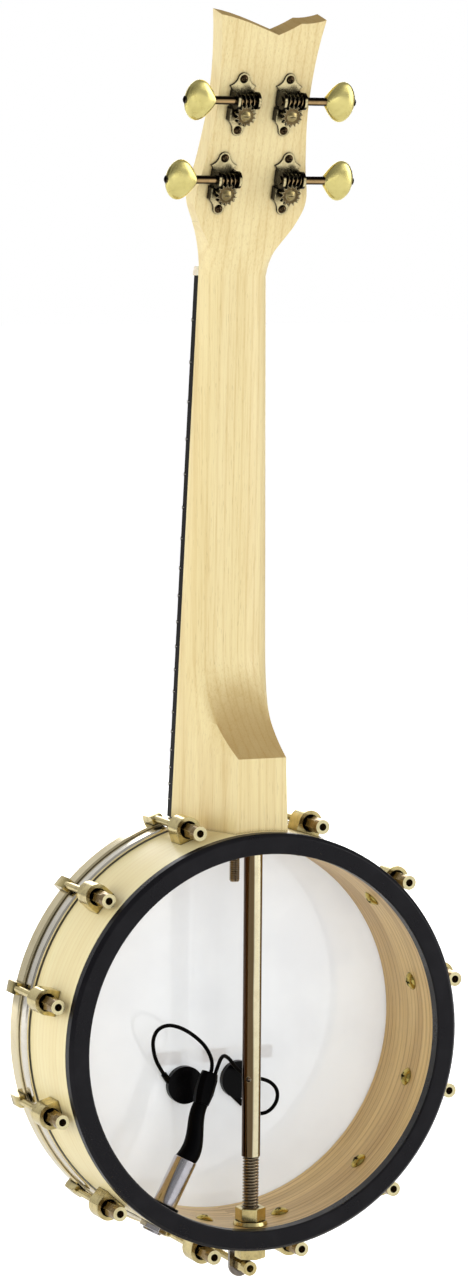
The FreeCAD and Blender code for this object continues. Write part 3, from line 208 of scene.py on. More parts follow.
# %% Helpers that place and join shader nodes
def add(tree, kind, **settings):
    """One shader node with its settings."""
    node = tree.nodes.new("ShaderNode" + kind)
    for setting, value in settings.items():
        setattr(node, setting, value)
    return node


def feed(tree, socket, value):
    """Joins an output to a socket, or sets the socket to a plain value."""
    if isinstance(value, bpy.types.NodeSocket):
        tree.links.new(value, socket)
    else:
        socket.default_value = value


def calc(tree, operation, *values, clamp=False):
    node = add(tree, "Math", operation=operation, use_clamp=clamp)
    for socket, value in zip(node.inputs, values):
        feed(tree, socket, value)
    return node.outputs[0]


def ramp(tree, value, low, high, to_low=0.0, to_high=1.0):
    """A smooth climb of a value between two edges."""
    node = add(tree, "MapRange", interpolation_type="SMOOTHSTEP")
    for socket, part in zip(node.inputs, (value, low, high, to_low, to_high)):
        feed(tree, socket, part)
    return node.outputs[0]


def tint(tree, share, first, second, mode="MIX"):
    """Two colours mixed by a share."""
    node = add(tree, "Mix", data_type="RGBA", blend_type=mode)
    for socket, part in zip((node.inputs[0], node.inputs[6], node.inputs[7]),
                            (share, first, second)):
        feed(tree, socket, part)
    return node.outputs[2]


def speckle(tree, vector, scale, detail=3.0, rough=0.55, distortion=0.0):
    """Noise read at a vector; its value is about 0.5 on average."""
    node = add(tree, "TexNoise")
    for socket, part in (("Vector", vector), ("Scale", scale), ("Detail", detail),
                         ("Roughness", rough), ("Distortion", distortion)):
        feed(tree, node.inputs[socket], part)
    return node.outputs["Fac"]


def stretch(tree, vector, x, y, z, turned=(0, 0, 0)):
    """Scales a vector, so that what is read at it is drawn out along one way."""
    node = add(tree, "Mapping")
    feed(tree, node.inputs["Vector"], vector)
    node.inputs["Scale"].default_value = (x, y, z)
    node.inputs["Rotation"].default_value = turned
    return node.outputs[0]


def paint(red, green, blue):
    """A paint-chip colour, 0 to 255, as the linear numbers that a shader wants."""
    chips = [c / 255 for c in (red, green, blue)]
    return (*[c / 12.92 if c <= 0.04045 else ((c + 0.055) / 1.055) ** 2.4 for c in chips], 1)


print("maple chip:", [round(c, 3) for c in paint(234, 204, 142)[:3]])

# %% Paint the surrounding walls
world = bpy.data.worlds.new("studio")
bpy.context.scene.world = world
world.use_nodes = True
sky = world.node_tree
sky.nodes.clear()
split = add(sky, "SeparateXYZ")
feed(sky, split.inputs[0], add(sky, "TexCoord").outputs["Generated"])
bearing = calc(sky, "DIVIDE", calc(sky, "ARCTAN2", split.outputs["X"],
                                   calc(sky, "MULTIPLY", split.outputs["Y"], -1.0)), 2 * pi)
walls = add(sky, "ValToRGB")
feed(sky, walls.inputs[0], calc(sky, "FRACT", calc(sky, "ADD", bearing, 1.0)))
walls.color_ramp.interpolation = "EASE"
bands = [(0.00, 0.70), (0.09, 0.50), (0.14, 0.10), (0.21, 0.04), (0.25, 0.20), (0.33, 0.34),
         (0.36, 0.10), (0.39, 0.26), (0.47, 0.30), (0.53, 0.42), (0.58, 1.0), (0.71, 1.3),
         (0.745, 0.05), (0.85, 0.05), (0.90, 0.60), (0.98, 0.70)]
while len(walls.color_ramp.elements) < len(bands):
    walls.color_ramp.elements.new(0.5)
for mark, (place, level) in zip(walls.color_ramp.elements, bands):
    mark.position, mark.color = place, (level, level, level, 1)
overhead = ramp(sky, split.outputs["Z"], 0.35, 0.8)
seen_in_metal = tint(sky, overhead, walls.outputs["Color"], (0.34, 0.34, 0.34, 1))
ray = add(sky, "LightPath")
for_wood = tint(sky, ray.outputs["Is Diffuse Ray"], seen_in_metal, (0.36, 0.36, 0.37, 1))
shown = tint(sky, ray.outputs["Is Camera Ray"], for_wood, (1, 1, 1, 1))
backing = add(sky, "Background")
feed(sky, backing.inputs["Color"], shown)
sky.links.new(backing.outputs[0], add(sky, "OutputWorld").inputs[0])
bpy.context.scene.view_settings.view_transform = "Standard"
print("bands on the walls:", len(bands))

# %% [markdown]
# ## Effects shared by many materials
# Wood streaks, tarnish, scratches and bright worn edges turn up on piece after piece.
# Each one is a small shader group with named inputs, so that every material can set its
# own strength, and a change to the group reaches them all.

# %% A helper that starts a shader group
def new_group(name, inputs, outputs):
    tree = bpy.data.node_groups.new(name, "ShaderNodeTree")
    for title, kind, value in inputs:
        socket = tree.interface.new_socket(title, in_out="INPUT", socket_type="NodeSocket" + kind)
        if value is not None:
            socket.default_value = value
    for title, kind in outputs:
        tree.interface.new_socket(title, in_out="OUTPUT", socket_type="NodeSocket" + kind)
    return tree, tree.nodes.new("NodeGroupInput").outputs, tree.nodes.new("NodeGroupOutput").inputs


def use_group(tree, group, **values):
    """A group placed in a tree; an input's name is written with _ for each space."""
    node = add(tree, "Group", node_tree=group)
    for title, value in values.items():
        feed(tree, node.inputs[title.replace("_", " ")], value)
    return node.outputs


# %% [markdown]
# Maple is pale and close-grained. Up close it has three things at once: broad soft bands
# where the year rings run through, fine streaks along the fibres, and short dark pores
# and flecks. The group reads a vector whose first axis runs along the fibres.

# %% The maple grain group
grain_group, take, give = new_group(
    "maple grain",
    [("Fibre Vector", "Vector", None), ("Pale", "Color", (0.8, 0.65, 0.4, 1)),
     ("Warm", "Color", (0.6, 0.4, 0.2, 1)), ("Bands", "Float", 0.5), ("Streaks", "Float", 0.5),
     ("Flecks", "Float", 0.5)], [("Color", "Color"), ("Height", "Float"), ("Roughness", "Float")])
fibre = take["Fibre Vector"]
broad = speckle(grain_group, stretch(grain_group, fibre, 5, 75, 75), 1.0, 3.0, 0.55, 0.6)
ring_wave = add(grain_group, "TexWave", wave_type="BANDS", bands_direction="Y")
feed(grain_group, ring_wave.inputs["Vector"], stretch(grain_group, fibre, 1.6, 76, 52))
ring_wave.inputs["Scale"].default_value, ring_wave.inputs["Distortion"].default_value = 1.0, 4.5
ring_wave.inputs["Detail"].default_value, ring_wave.inputs["Detail Scale"].default_value = 2.5, 0.8
bands_mask = calc(grain_group, "MULTIPLY", ramp(grain_group, broad, 0.35, 0.7), take["Bands"])
ring_mask = calc(grain_group, "MULTIPLY",
                 ramp(grain_group, ring_wave.outputs["Fac"], 0.72, 1.0), take["Bands"])
fine = speckle(grain_group, stretch(grain_group, fibre, 15, 1500, 1500), 1.0, 3.0, 0.65)
streak_mask = calc(grain_group, "MULTIPLY", ramp(grain_group, fine, 0.42, 0.72), take["Streaks"])
pore = speckle(grain_group, stretch(grain_group, fibre, 150, 2600, 2600), 1.0, 1.0, 0.4)
fleck_mask = calc(grain_group, "MULTIPLY", ramp(grain_group, pore, 0.66, 0.74), take["Flecks"])
dark_share = calc(grain_group, "ADD", calc(grain_group, "MULTIPLY", bands_mask, 0.55),
                  calc(grain_group, "ADD", calc(grain_group, "MULTIPLY", ring_mask, 0.4),
                       calc(grain_group, "MULTIPLY", streak_mask, 0.5)), clamp=True)
wood = tint(grain_group, dark_share, take["Pale"], take["Warm"])
wood = tint(grain_group, calc(grain_group, "MULTIPLY", fleck_mask, 0.6), wood,
            tint(grain_group, 0.5, take["Warm"], (0.10, 0.05, 0.02, 1)))
feed(grain_group, give["Color"], wood)
feed(grain_group, give["Height"], calc(grain_group, "SUBTRACT", calc(
    grain_group, "MULTIPLY", fine, 0.5), calc(grain_group, "MULTIPLY", fleck_mask, 0.8)))
feed(grain_group, give["Roughness"], ramp(grain_group, fine, 0.3, 0.7, 0.34, 0.46))
print("maple grain group:", len(grain_group.nodes), "nodes")

# %% [markdown]
# Plated and antiqued metal is never one colour. Hands and air leave cloudy tarnish, the
# polishing wheel leaves fine lines, and rubbing brightens the high edges, while the
# corners are darkened, partly by real black patina and partly as painted shade. Two groups
# cover this: one for the open faces, one that finds edges by comparing the true surface
# with a slightly rounded one, and corners by how closed in a point is.

# %% The handled metal group
metal_group, take, give = new_group(
    "handled metal",
    [("Vector", "Vector", None), ("Bright", "Color", (0.8, 0.7, 0.4, 1)),
     ("Tarnish", "Color", (0.2, 0.12, 0.05, 1)), ("Amount", "Float", 0.5),
     ("Roughness", "Float", 0.25), ("Scratches", "Float", 0.3)],
    [("Color", "Color"), ("Roughness", "Float"), ("Height", "Float")])
cloud = speckle(metal_group, take["Vector"], 190.0, 4.0, 0.6, 0.4)
speck = speckle(metal_group, take["Vector"], 1500.0, 2.0, 0.6)
cloud_mask = calc(metal_group, "MULTIPLY", ramp(metal_group, cloud, 0.40, 0.68), take["Amount"])
speck_mask = calc(metal_group, "MULTIPLY", ramp(metal_group, speck, 0.58, 0.72), take["Amount"])
one_way = stretch(metal_group, take["Vector"], 90, 2400, 2400, (0, 0.4, 0.7))
scratch_a = speckle(metal_group, one_way, 1.0, 2.0, 0.5)
other_way = stretch(metal_group, take["Vector"], 2100, 2100, 120, (0.5, 0.2, 0))
scratch_b = speckle(metal_group, other_way, 1.0, 2.0, 0.5)
scratch = calc(metal_group, "MAXIMUM", ramp(metal_group, scratch_a, 0.66, 0.74),
               ramp(metal_group, scratch_b, 0.67, 0.75))
scratch_mask = calc(metal_group, "MULTIPLY", scratch, take["Scratches"])
coat = tint(metal_group, calc(metal_group, "ADD", calc(metal_group, "MULTIPLY", cloud_mask, 0.7),
                              calc(metal_group, "MULTIPLY", speck_mask, 0.35), clamp=True),
            take["Bright"], take["Tarnish"])
feed(metal_group, give["Color"], coat)
worn = calc(metal_group, "ADD", calc(metal_group, "MULTIPLY", cloud_mask, 0.22),
            calc(metal_group, "MULTIPLY", scratch_mask, 0.25))
feed(metal_group, give["Roughness"], calc(metal_group, "ADD", worn, take["Roughness"], clamp=True))
feed(metal_group, give["Height"], calc(metal_group, "SUBTRACT", calc(
    metal_group, "MULTIPLY", speck, 0.3), scratch_mask))
print("handled metal group:", len(metal_group.nodes), "nodes")

# %% The edge and corner group
edge_group, take, give = new_group(
    "edges and corners",
    [("Edge Width", "Float", 0.0006), ("Corner Reach", "Float", 0.002), ("Vector", "Vector", None)],
    [("Edge", "Float"), ("Corner", "Float")])
rounded = add(edge_group, "Bevel", samples=3)
feed(edge_group, rounded.inputs["Radius"], take["Edge Width"])
true_normal = add(edge_group, "NewGeometry").outputs["Normal"]
agreement = add(edge_group, "VectorMath", operation="DOT_PRODUCT")
feed(edge_group, agreement.inputs[0], rounded.outputs["Normal"])
feed(edge_group, agreement.inputs[1], true_normal)
bend = calc(edge_group, "SUBTRACT", 1.0, agreement.outputs["Value"])
shade = add(edge_group, "AmbientOcclusion", samples=4)
feed(edge_group, shade.inputs["Distance"], take["Corner Reach"])
# Corner mask from ambient occlusion: it drives dark corners that are partly patina and partly
# painted shade.
hollow = ramp(edge_group, shade.outputs["AO"], 0.88, 0.38)
patchy = ramp(edge_group, speckle(edge_group, take["Vector"], 900.0, 3.0), 0.3, 0.6, 0.45, 1.0)
edge = calc(edge_group, "MULTIPLY", ramp(edge_group, bend, 0.012, 0.10), patchy)
feed(edge_group, give["Edge"], calc(edge_group, "MULTIPLY", edge,
                                    calc(edge_group, "SUBTRACT", 1.0, hollow), clamp=True))
feed(edge_group, give["Corner"], hollow)
print("edge group:", len(edge_group.nodes), "nodes")

# %% [markdown]
# ## Helpers for materials
# A material here is one Principled shader. Numbers that hold for the whole surface sit on
# the shader's own sockets, and only what changes over the surface is wired in.

# %% Start a material and give it relief
finish = {}


def new_finish(slot, **constants):
    """A material named after its slot, with constants set on the shader's own sockets."""
    material = bpy.data.materials.new(slot.replace("_", " ") + " finish")
    material.use_nodes = True
    tree = material.node_tree
    shader = tree.nodes["Principled BSDF"]
    for socket, value in constants.items():
        shader.inputs[socket.replace("_", " ")].default_value = value
    finish[slot] = material
    return tree, shader.inputs, add(tree, "TexCoord").outputs["Object"]


def relief(tree, sockets, height, depth, strength=0.6):
    """Small surface relief; depth is in metres."""
    node = add(tree, "Bump")
    node.inputs["Strength"].default_value = strength
    node.inputs["Distance"].default_value = depth
    feed(tree, node.inputs["Height"], height)
    feed(tree, sockets["Normal"], node.outputs[0])


# %% [markdown]
# Rubbing and cut wood both depend on which way a face looks. The helper compares a
# surface's direction with a chosen one. The headstock leans back, so its own up and
# outward directions are worked out once from that lean.

# %% A helper that finds which way a face looks
tilt = radians(16.8)
up_stock, out_stock = Vector((0, sin(tilt), cos(tilt))), Vector((0, cos(tilt), -sin(tilt)))


def facing(tree, way, low, high):
    """How far a surface faces a way, from 0 below one cosine to 1 above another."""
    node = add(tree, "VectorMath", operation="DOT_PRODUCT")
    feed(tree, node.inputs[0], add(tree, "NewGeometry").outputs["Normal"])
    node.inputs[1].default_value = way
    return ramp(tree, node.outputs["Value"], low, high)


print("out of the headstock:", [round(c, 3) for c in out_stock])

# %% [markdown]
# ## Maple for the neck
# The neck is one piece of pale maple with its fibres along its length, under a thin satin
# lacquer that lets the grain be felt. The grain group does the colour; a low coat gives
# the lacquer's soft shine. Faces that look up the neck carry painted shade, since little
# light comes from above, and are also rougher and less glossy. A thin dark line of painted
# contact shade, with a little dust, lies where metal sits on the wood.

# %% Neck finish
def maple(slot, fibre_vector, pale, warm, bands, streaks, flecks, coat=0.12):
    tree, sockets, place = new_finish(slot, Coat_Weight=coat, Coat_Roughness=0.35)
    grain = use_group(tree, grain_group, Fibre_Vector=fibre_vector(tree, place), Pale=pale,
                      Warm=warm, Bands=bands, Streaks=streaks, Flecks=flecks)
    feed(tree, sockets["Base Color"], grain["Color"])
    feed(tree, sockets["Roughness"], grain["Roughness"])
    relief(tree, sockets, grain["Height"], 0.00003, 0.35)
    return tree, sockets, grain


def along_neck(tree, place):
    """Fibres up the neck: the vector's first axis is Z."""
    parts = add(tree, "SeparateXYZ")
    feed(tree, parts.inputs[0], place)
    joined = add(tree, "CombineXYZ")
    for socket, axis in zip(joined.inputs, "ZXY"):
        feed(tree, socket, parts.outputs[axis])
    return joined.outputs[0]


tree, sockets, grain = maple("neck_maple", along_neck, paint(245, 227, 171), paint(214, 182, 113),
                             0.5, 0.62, 0.5)
# Painted shade: faces that look up the neck are darkened, and the same mask makes them rougher and
# less glossy.
upward_shade_mask = calc(tree, "MULTIPLY", facing(tree, (0, 0, 1), 0.18, 0.75), 0.60)
wood_before_contact_shade = tint(tree, upward_shade_mask, grain["Color"], paint(160, 120, 60))
# Painted contact shade, with a little dust: ambient occlusion darkens the wood next to the metal
# parts.
find = use_group(tree, edge_group, Edge_Width=0.0003, Corner_Reach=0.0022,
                 Vector=add(tree, "TexCoord").outputs["Object"])
feed(tree, sockets["Base Color"], tint(tree, calc(tree, "MULTIPLY", find["Corner"], 0.9), wood_before_contact_shade,
                                       paint(56, 34, 16)))
feed(tree, sockets["Roughness"], calc(tree, "ADD", grain["Roughness"], upward_shade_mask, clamp=True))
feed(tree, sockets["Coat Weight"], calc(tree, "SUBTRACT", 0.12, upward_shade_mask, clamp=True))
feed(tree, sockets["Specular IOR Level"], calc(tree, "SUBTRACT", 0.5, upward_shade_mask, clamp=True))
print("neck finish ready")


# %% [markdown]
# ## Maple bent round the pot
# The rim is glued up from thin sheets bent in a circle, so its fibres run round the pot.
# Reading the grain at (distance round, depth, radius) bends the pattern with the wood.
# The outer sheet is a paler, cleaner piece than the inner one, so the two colours change
# over halfway through the wall; the inner colour is also partly darker as painted shade. A
# dark line of painted shadow lies along the edge of the film, where the hoop meets the rim.

# %% Rim finish
def round_rim(tree, place):
    """Distance round the pot, depth and radius as one vector."""
    parts = add(tree, "SeparateXYZ")
    feed(tree, parts.inputs[0], place)
    x, y, z = (parts.outputs[axis] for axis in "XYZ")
    radius = calc(tree, "SQRT", calc(tree, "ADD", calc(tree, "MULTIPLY", x, x),
                                     calc(tree, "MULTIPLY", z, z)))
    joined = add(tree, "CombineXYZ")
    feed(tree, joined.inputs[0], calc(tree, "MULTIPLY", calc(tree, "ARCTAN2", x, z), 0.1))
    feed(tree, joined.inputs[1], y)
    feed(tree, joined.inputs[2], radius)
    return joined.outputs[0]


tree, sockets, grain = maple("rim_maple", round_rim, paint(242, 209, 136), paint(174, 130, 60),
                             0.9, 0.75, 0.6)
parts = add(tree, "SeparateXYZ")
rim_vector = grain["Color"].node.inputs["Fibre Vector"].links[0].from_socket
feed(tree, parts.inputs[0], rim_vector)
# The inner sheet's darker colour is partly real wood and partly painted shade inside the pot.
outside = ramp(tree, parts.outputs["Z"], 0.0985, 0.0995)
outer_grain = use_group(tree, grain_group, Fibre_Vector=rim_vector,
                        Pale=paint(249, 235, 180), Warm=paint(228, 200, 132), Bands=0.4,
                        Streaks=0.4, Flecks=0.25)
wood_before_contact_shade = tint(tree, outside, grain["Color"], outer_grain["Color"])
hoop_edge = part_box("flesh_hoop")[1].y
# Painted shadow: a dark line on the outer wall along the flesh hoop's edge.
painted_gap_shadow = calc(tree, "MULTIPLY", outside, ramp(tree, parts.outputs["Y"], hoop_edge + 1.5 * mm,
                                            hoop_edge + 0.7 * mm))
feed(tree, sockets["Base Color"], tint(tree, calc(tree, "MULTIPLY", painted_gap_shadow, 0.9), wood_before_contact_shade,
                                       paint(40, 28, 14)))
print("rim finish ready")


# %% [markdown]
# ## Darker woods and bone
# The fingerboard is dense and nearly black, oiled rather than lacquered. The bridge is
# warmer maple with its fibres across the strings. The nut is bleached bone: cream, with
# faint streaks and a dull polish.

# %% Fingerboard, bridge and nut finishes
def along_x(tree, place):
    return place


maple("bridge_maple", along_x, paint(212, 174, 118), paint(150, 104, 60), 0.7, 0.8, 0.8, 0.05)
tree, sockets, grain = maple("blackwood", along_neck, paint(14, 11, 12), paint(6, 4, 5),
                             0.6, 0.9, 0.9, 0.0)
feed(tree, sockets["Roughness"], ramp(tree, grain["Height"], -0.4, 0.4, 0.5, 0.34))
sockets["Specular IOR Level"].default_value = 0.08
tree, sockets, place = new_finish("bone", Subsurface_Weight=0.15, Coat_Weight=0.2)
sockets["Subsurface Scale"].default_value = 0.002
streak = speckle(tree, stretch(tree, place, 60, 900, 900), 1.0, 3.0)
feed(tree, sockets["Base Color"], tint(tree, ramp(tree, streak, 0.35, 0.75),
                                       paint(240, 232, 206), paint(214, 200, 164)))
feed(tree, sockets["Roughness"], ramp(tree, streak, 0.3, 0.7, 0.28, 0.42))
relief(tree, sockets, streak, 0.00002)
print("dark wood, bridge and bone ready")


# %% [markdown]
# ## The head
# The head is a thin white plastic film, stretched tight. Its inner side is smooth and shows
# faint reflections of the pickups and the rim. It lets a little light through, so the
# bridge on its far side shows as a soft shadow; a small share of transparency does that.

# %% Head finish
# Painted light: a faint emission makes the film glow, standing in for light that passes through it.
tree, sockets, place = new_finish("white_film", Alpha=0.80, IOR=1.5, Coat_Weight=1.0,
                                  Coat_Roughness=0.03, Coat_IOR=1.7, Emission_Strength=0.17,
                                  Emission_Color=(0.95, 0.98, 1.0, 1.0))
frost = speckle(tree, place, 2200.0, 2.0, 0.6)
haze = speckle(tree, place, 26.0, 3.0, 0.5)
feed(tree, sockets["Base Color"], tint(tree, ramp(tree, haze, 0.35, 0.7),
                                       paint(244, 248, 251), paint(235, 239, 243)))
feed(tree, sockets["Roughness"], calc(tree, "ADD", ramp(tree, frost, 0.3, 0.7, 0.08, 0.14),
                                      ramp(tree, haze, 0.4, 0.7, 0.0, 0.06)))
relief(tree, sockets, frost, 0.000004, 0.3)
print("film ready")


# %% [markdown]
# ## Black plastics and rubber
# The cap ring is polished black plastic with a few handling marks. The sleeve, splitter
# and leads are soft rubber, duller and a little dusty. The discs are smooth moulded
# plastic that shows clean reflections.

# %% Black finishes
def black(slot, colour, dull, low, high, grain_scale, depth, coat, gloss):
    tree, sockets, place = new_finish(slot, Coat_Weight=coat, Coat_Roughness=0.12,
                                      Specular_IOR_Level=gloss)
    smudge = speckle(tree, place, 60.0, 4.0, 0.6, 0.3)
    fine = speckle(tree, place, grain_scale, 2.0, 0.5)
    rubbed = calc(tree, "MULTIPLY", ramp(tree, smudge, 0.45, 0.75), 0.6)
    feed(tree, sockets["Base Color"], tint(tree, rubbed, colour, dull))
    feed(tree, sockets["Roughness"], calc(tree, "ADD", ramp(tree, smudge, 0.35, 0.75, low, high),
                                          ramp(tree, fine, 0.4, 0.7, -0.02, 0.03)))
    relief(tree, sockets, fine, depth, 0.5)
    return tree, sockets, place


black("black_ring", paint(15, 14, 18), paint(26, 25, 29), 0.28, 0.42, 1300.0, 0.00001, 0.0, 0.20)
black("black_rubber", paint(2, 2, 3), paint(6, 6, 7), 0.42, 0.62, 2400.0, 0.00002, 0.0, 0.05)
black("disc_plastic", paint(2, 2, 3), paint(5, 5, 6), 0.14, 0.24, 900.0, 0.000004, 0.0, 0.10)
print("black finishes ready")


# %% [markdown]
# ## Metals
# All metal parts share one recipe with their own colours: the handled metal group for
# the faces, then bright edges and dark corners from the second group; the dark corners
# are partly patina and partly painted shade. The tuners carry the most contrast: the faces
# that stand out from the headstock are bright, and their side faces are painted black, as
# painted shade over blackened brass. For those the recipe takes a direction, and mixes in
# the side colour where a face looks elsewhere; the same mask paints a highlight along the
# worm shafts and lit faces on the hook nuts and gears.

# %% The metal recipe
def metal(slot, bright, tarnish, amount, rough, scratches, edge, corner,
          edge_width=0.0004, reach=0.002, edge_share=0.8, corner_share=0.8,
          rubbed=None, side_shade=None):
    """rubbed is (direction, low, high), a painted-light mask; faces that look elsewhere take the
    darker side colour as painted shade.
    """
    tree, sockets, place = new_finish(slot, Metallic=1.0)
    face = use_group(tree, metal_group, Vector=place, Bright=bright, Tarnish=tarnish,
                     Amount=amount, Roughness=rough, Scratches=scratches)
    find = use_group(tree, edge_group, Edge_Width=edge_width, Corner_Reach=reach, Vector=place)
    open_face = face["Color"]
    if rubbed:
        # Painted light: faces turned the given way keep the bright colour, the rest take the darker
        # side colour.
        open_face = tint(tree, facing(tree, *rubbed), side_shade, open_face)
    colour = tint(tree, calc(tree, "MULTIPLY", find["Edge"], edge_share), open_face, edge)
    colour = tint(tree, calc(tree, "MULTIPLY", find["Corner"], corner_share), colour, corner)
    feed(tree, sockets["Base Color"], colour)
    feed(tree, sockets["Roughness"], calc(tree, "ADD", face["Roughness"], calc(
        tree, "MULTIPLY", find["Corner"], 0.25), clamp=True))
    relief(tree, sockets, face["Height"], 0.000008, 0.5)


# The second colour is the corner black: partly patina in the hollows, partly painted shade.
cream, soot_and_shade = paint(250, 238, 194), paint(16, 10, 6)
metal("warm_brass", paint(228, 210, 148), paint(122, 98, 54), 0.45, 0.16, 0.4,
      paint(252, 242, 198), paint(26, 18, 8), 0.00035, 0.0026, 0.7, 1.0)
# Painted light: hook-nut faces looking along +Y are lit, the other faces take a darker bronze.
metal("nut_bronze", paint(240, 228, 178), paint(150, 120, 64), 0.3, 0.18, 0.4,
      paint(250, 238, 190), soot_and_shade, 0.0004, 0.0020, 0.8, 1.0, (Vector((0, 1, 0)), 0.75, 0.9),
      paint(136, 110, 60))
metal("hoop_gold", paint(238, 224, 184), paint(196, 172, 116), 0.2, 0.14, 0.2,
      paint(252, 246, 220), paint(60, 46, 24), 0.0003, 0.0012, 0.5, 0.8)
metal("pale_brass", paint(240, 226, 146), paint(186, 168, 82), 0.35, 0.20, 0.2,
      paint(250, 240, 180), paint(60, 46, 20), 0.0005, 0.0012, 0.4)
# Painted shade: the plates' side faces and a dark outline along their edges are painted black.
metal("aged_brass", paint(240, 224, 172), paint(120, 96, 58), 0.45, 0.20, 0.3,
      soot_and_shade, soot_and_shade, 0.0007, 0.0045, 0.95, 1.0, (out_stock, 0.80, 0.95), paint(20, 14, 9))
# Painted light: gear faces turned out of the headstock are lighter, the sides nearly black.
metal("gear_brass", paint(124, 106, 72), paint(34, 25, 16), 0.7, 0.20, 0.3,
      cream, soot_and_shade, 0.0004, 0.0020, 1.0, 1.0, (out_stock, 0.5, 0.9), paint(24, 17, 11))
# Painted highlight: only faces looking straight out of the headstock stay bright, a stripe along
# each shaft.
metal("worm_brass", paint(206, 172, 120), paint(110, 80, 48), 0.4, 0.18, 0.3,
      cream, soot_and_shade, 0.0003, 0.0014, 0.3, 1.0, (out_stock, 0.86, 1.0), paint(18, 12, 8))
metal("screw_gold", paint(206, 184, 100), paint(100, 76, 32), 0.55, 0.20, 0.3,
      paint(44, 30, 12), soot_and_shade, 0.0006, 0.0018, 0.9, 1.0)
metal("dark_screw", paint(70, 54, 36), paint(12, 8, 6), 0.6, 0.20, 0.4,
      paint(200, 172, 124), soot_and_shade, 0.0003, 0.0010, 0.6, 1.0)
metal("gear_screw", paint(176, 158, 108), paint(60, 44, 28), 0.6, 0.20, 0.4,
      cream, soot_and_shade, 0.0003, 0.0012, 0.6, 1.0)
metal("dark_nickel", paint(150, 142, 134), paint(60, 52, 46), 0.5, 0.14, 0.3,
      paint(246, 240, 230), paint(6, 5, 4), 0.0004, 0.0020, 0.8, 1.0)
metal("dark_steel", paint(178, 160, 132), paint(48, 38, 28), 0.5, 0.16, 0.2,
      paint(246, 240, 224), paint(3, 2, 2), 0.00025, 0.0022, 0.6, 1.0)
metal("chrome_plate", paint(212, 210, 216), paint(130, 120, 112), 0.25, 0.16, 0.3,
      paint(250, 250, 252), paint(40, 34, 28), 0.0004, 0.0015, 0.5)
metal("nickel_silver", paint(222, 218, 206), paint(160, 150, 128), 0.3, 0.16, 0.4,
      paint(246, 244, 236), paint(70, 62, 50), 0.0003, 0.0010, 0.5)
metal("bright_hoop", paint(240, 234, 220), paint(206, 194, 166), 0.25, 0.15, 0.3,
      paint(252, 250, 244), paint(40, 32, 20), 0.0004, 0.0014, 0.5)
print("metal finishes:", len(finish), "finishes in all")

# %% [markdown]
# The rod's colour is painted round it: one side is bright brass, and round to the other
# side painted shade and painted reflection turn it dark brown. The bearing round the rod's
# own axis drives that, with a little noise so that the change is not a ruled line.

# %% Rod finish
tree, sockets, place = new_finish("rod_brass", Metallic=1.0)
parts = add(tree, "SeparateXYZ")
feed(tree, parts.inputs[0], add(tree, "NewGeometry").outputs["Normal"])
painted_bright_bearing = radians(190)
toward = calc(tree, "ADD", calc(tree, "MULTIPLY", parts.outputs["X"], sin(painted_bright_bearing)),
              calc(tree, "MULTIPLY", parts.outputs["Y"], -cos(painted_bright_bearing)))
wander = calc(tree, "MULTIPLY", calc(tree, "SUBTRACT", speckle(
    tree, stretch(tree, place, 120, 120, 14), 1.0, 2.0), 0.5), 0.10)
toward = calc(tree, "ADD", toward, wander)
face = use_group(tree, metal_group, Vector=place, Bright=paint(246, 236, 198),
                 Tarnish=paint(196, 172, 112), Amount=0.25, Roughness=0.12, Scratches=0.25)
# Painted shade and painted reflection: the colour turns brown away from the bright side.
painted_dark_side = tint(tree, ramp(tree, toward, 0.25, 0.60), paint(74, 54, 40), paint(106, 88, 62))
colour = tint(tree, ramp(tree, toward, 0.88, 0.95), painted_dark_side, face["Color"])
find = use_group(tree, edge_group, Edge_Width=0.0003, Corner_Reach=0.0015, Vector=place)
colour = tint(tree, calc(tree, "MULTIPLY", find["Edge"], 0.5), colour, paint(250, 240, 200))
feed(tree, sockets["Base Color"], tint(tree, find["Corner"], colour, soot_and_shade))
feed(tree, sockets["Roughness"], face["Roughness"])
relief(tree, sockets, face["Height"], 0.000008, 0.5)
print("rod finish ready")

# %% [markdown]
# ## Strings and position dots
# Nylon strings are clear, with a soft shine. The dots are cut from shell: pale, with
# cloudy bands that turn pinkish and greenish.

# %% Nylon and shell finishes
tree, sockets, place = new_finish("clear_nylon", Transmission_Weight=0.55, IOR=1.53)
cloud = speckle(tree, place, 400.0, 2.0)
feed(tree, sockets["Base Color"], tint(tree, cloud, paint(244, 242, 232), paint(222, 216, 198)))
feed(tree, sockets["Roughness"], ramp(tree, cloud, 0.3, 0.7, 0.12, 0.24))
tree, sockets, place = new_finish("pearl_dots", Coat_Weight=0.8, Coat_Roughness=0.08)
swirl = speckle(tree, place, 700.0, 3.0, 0.5, 1.6)
shell = tint(tree, ramp(tree, swirl, 0.35, 0.65), paint(244, 240, 232), paint(206, 214, 210))
feed(tree, sockets["Base Color"], tint(tree, ramp(tree, swirl, 0.55, 0.75), shell,
                                       paint(236, 214, 214)))
feed(tree, sockets["Roughness"], ramp(tree, swirl, 0.3, 0.7, 0.18, 0.30))
print("finishes:", sorted(finish))

# %% [markdown]
# Each solid came with a slot that names its material, so most finishes go on by slot. A
# few pieces share a slot but not a history, and those get their own finish by name.

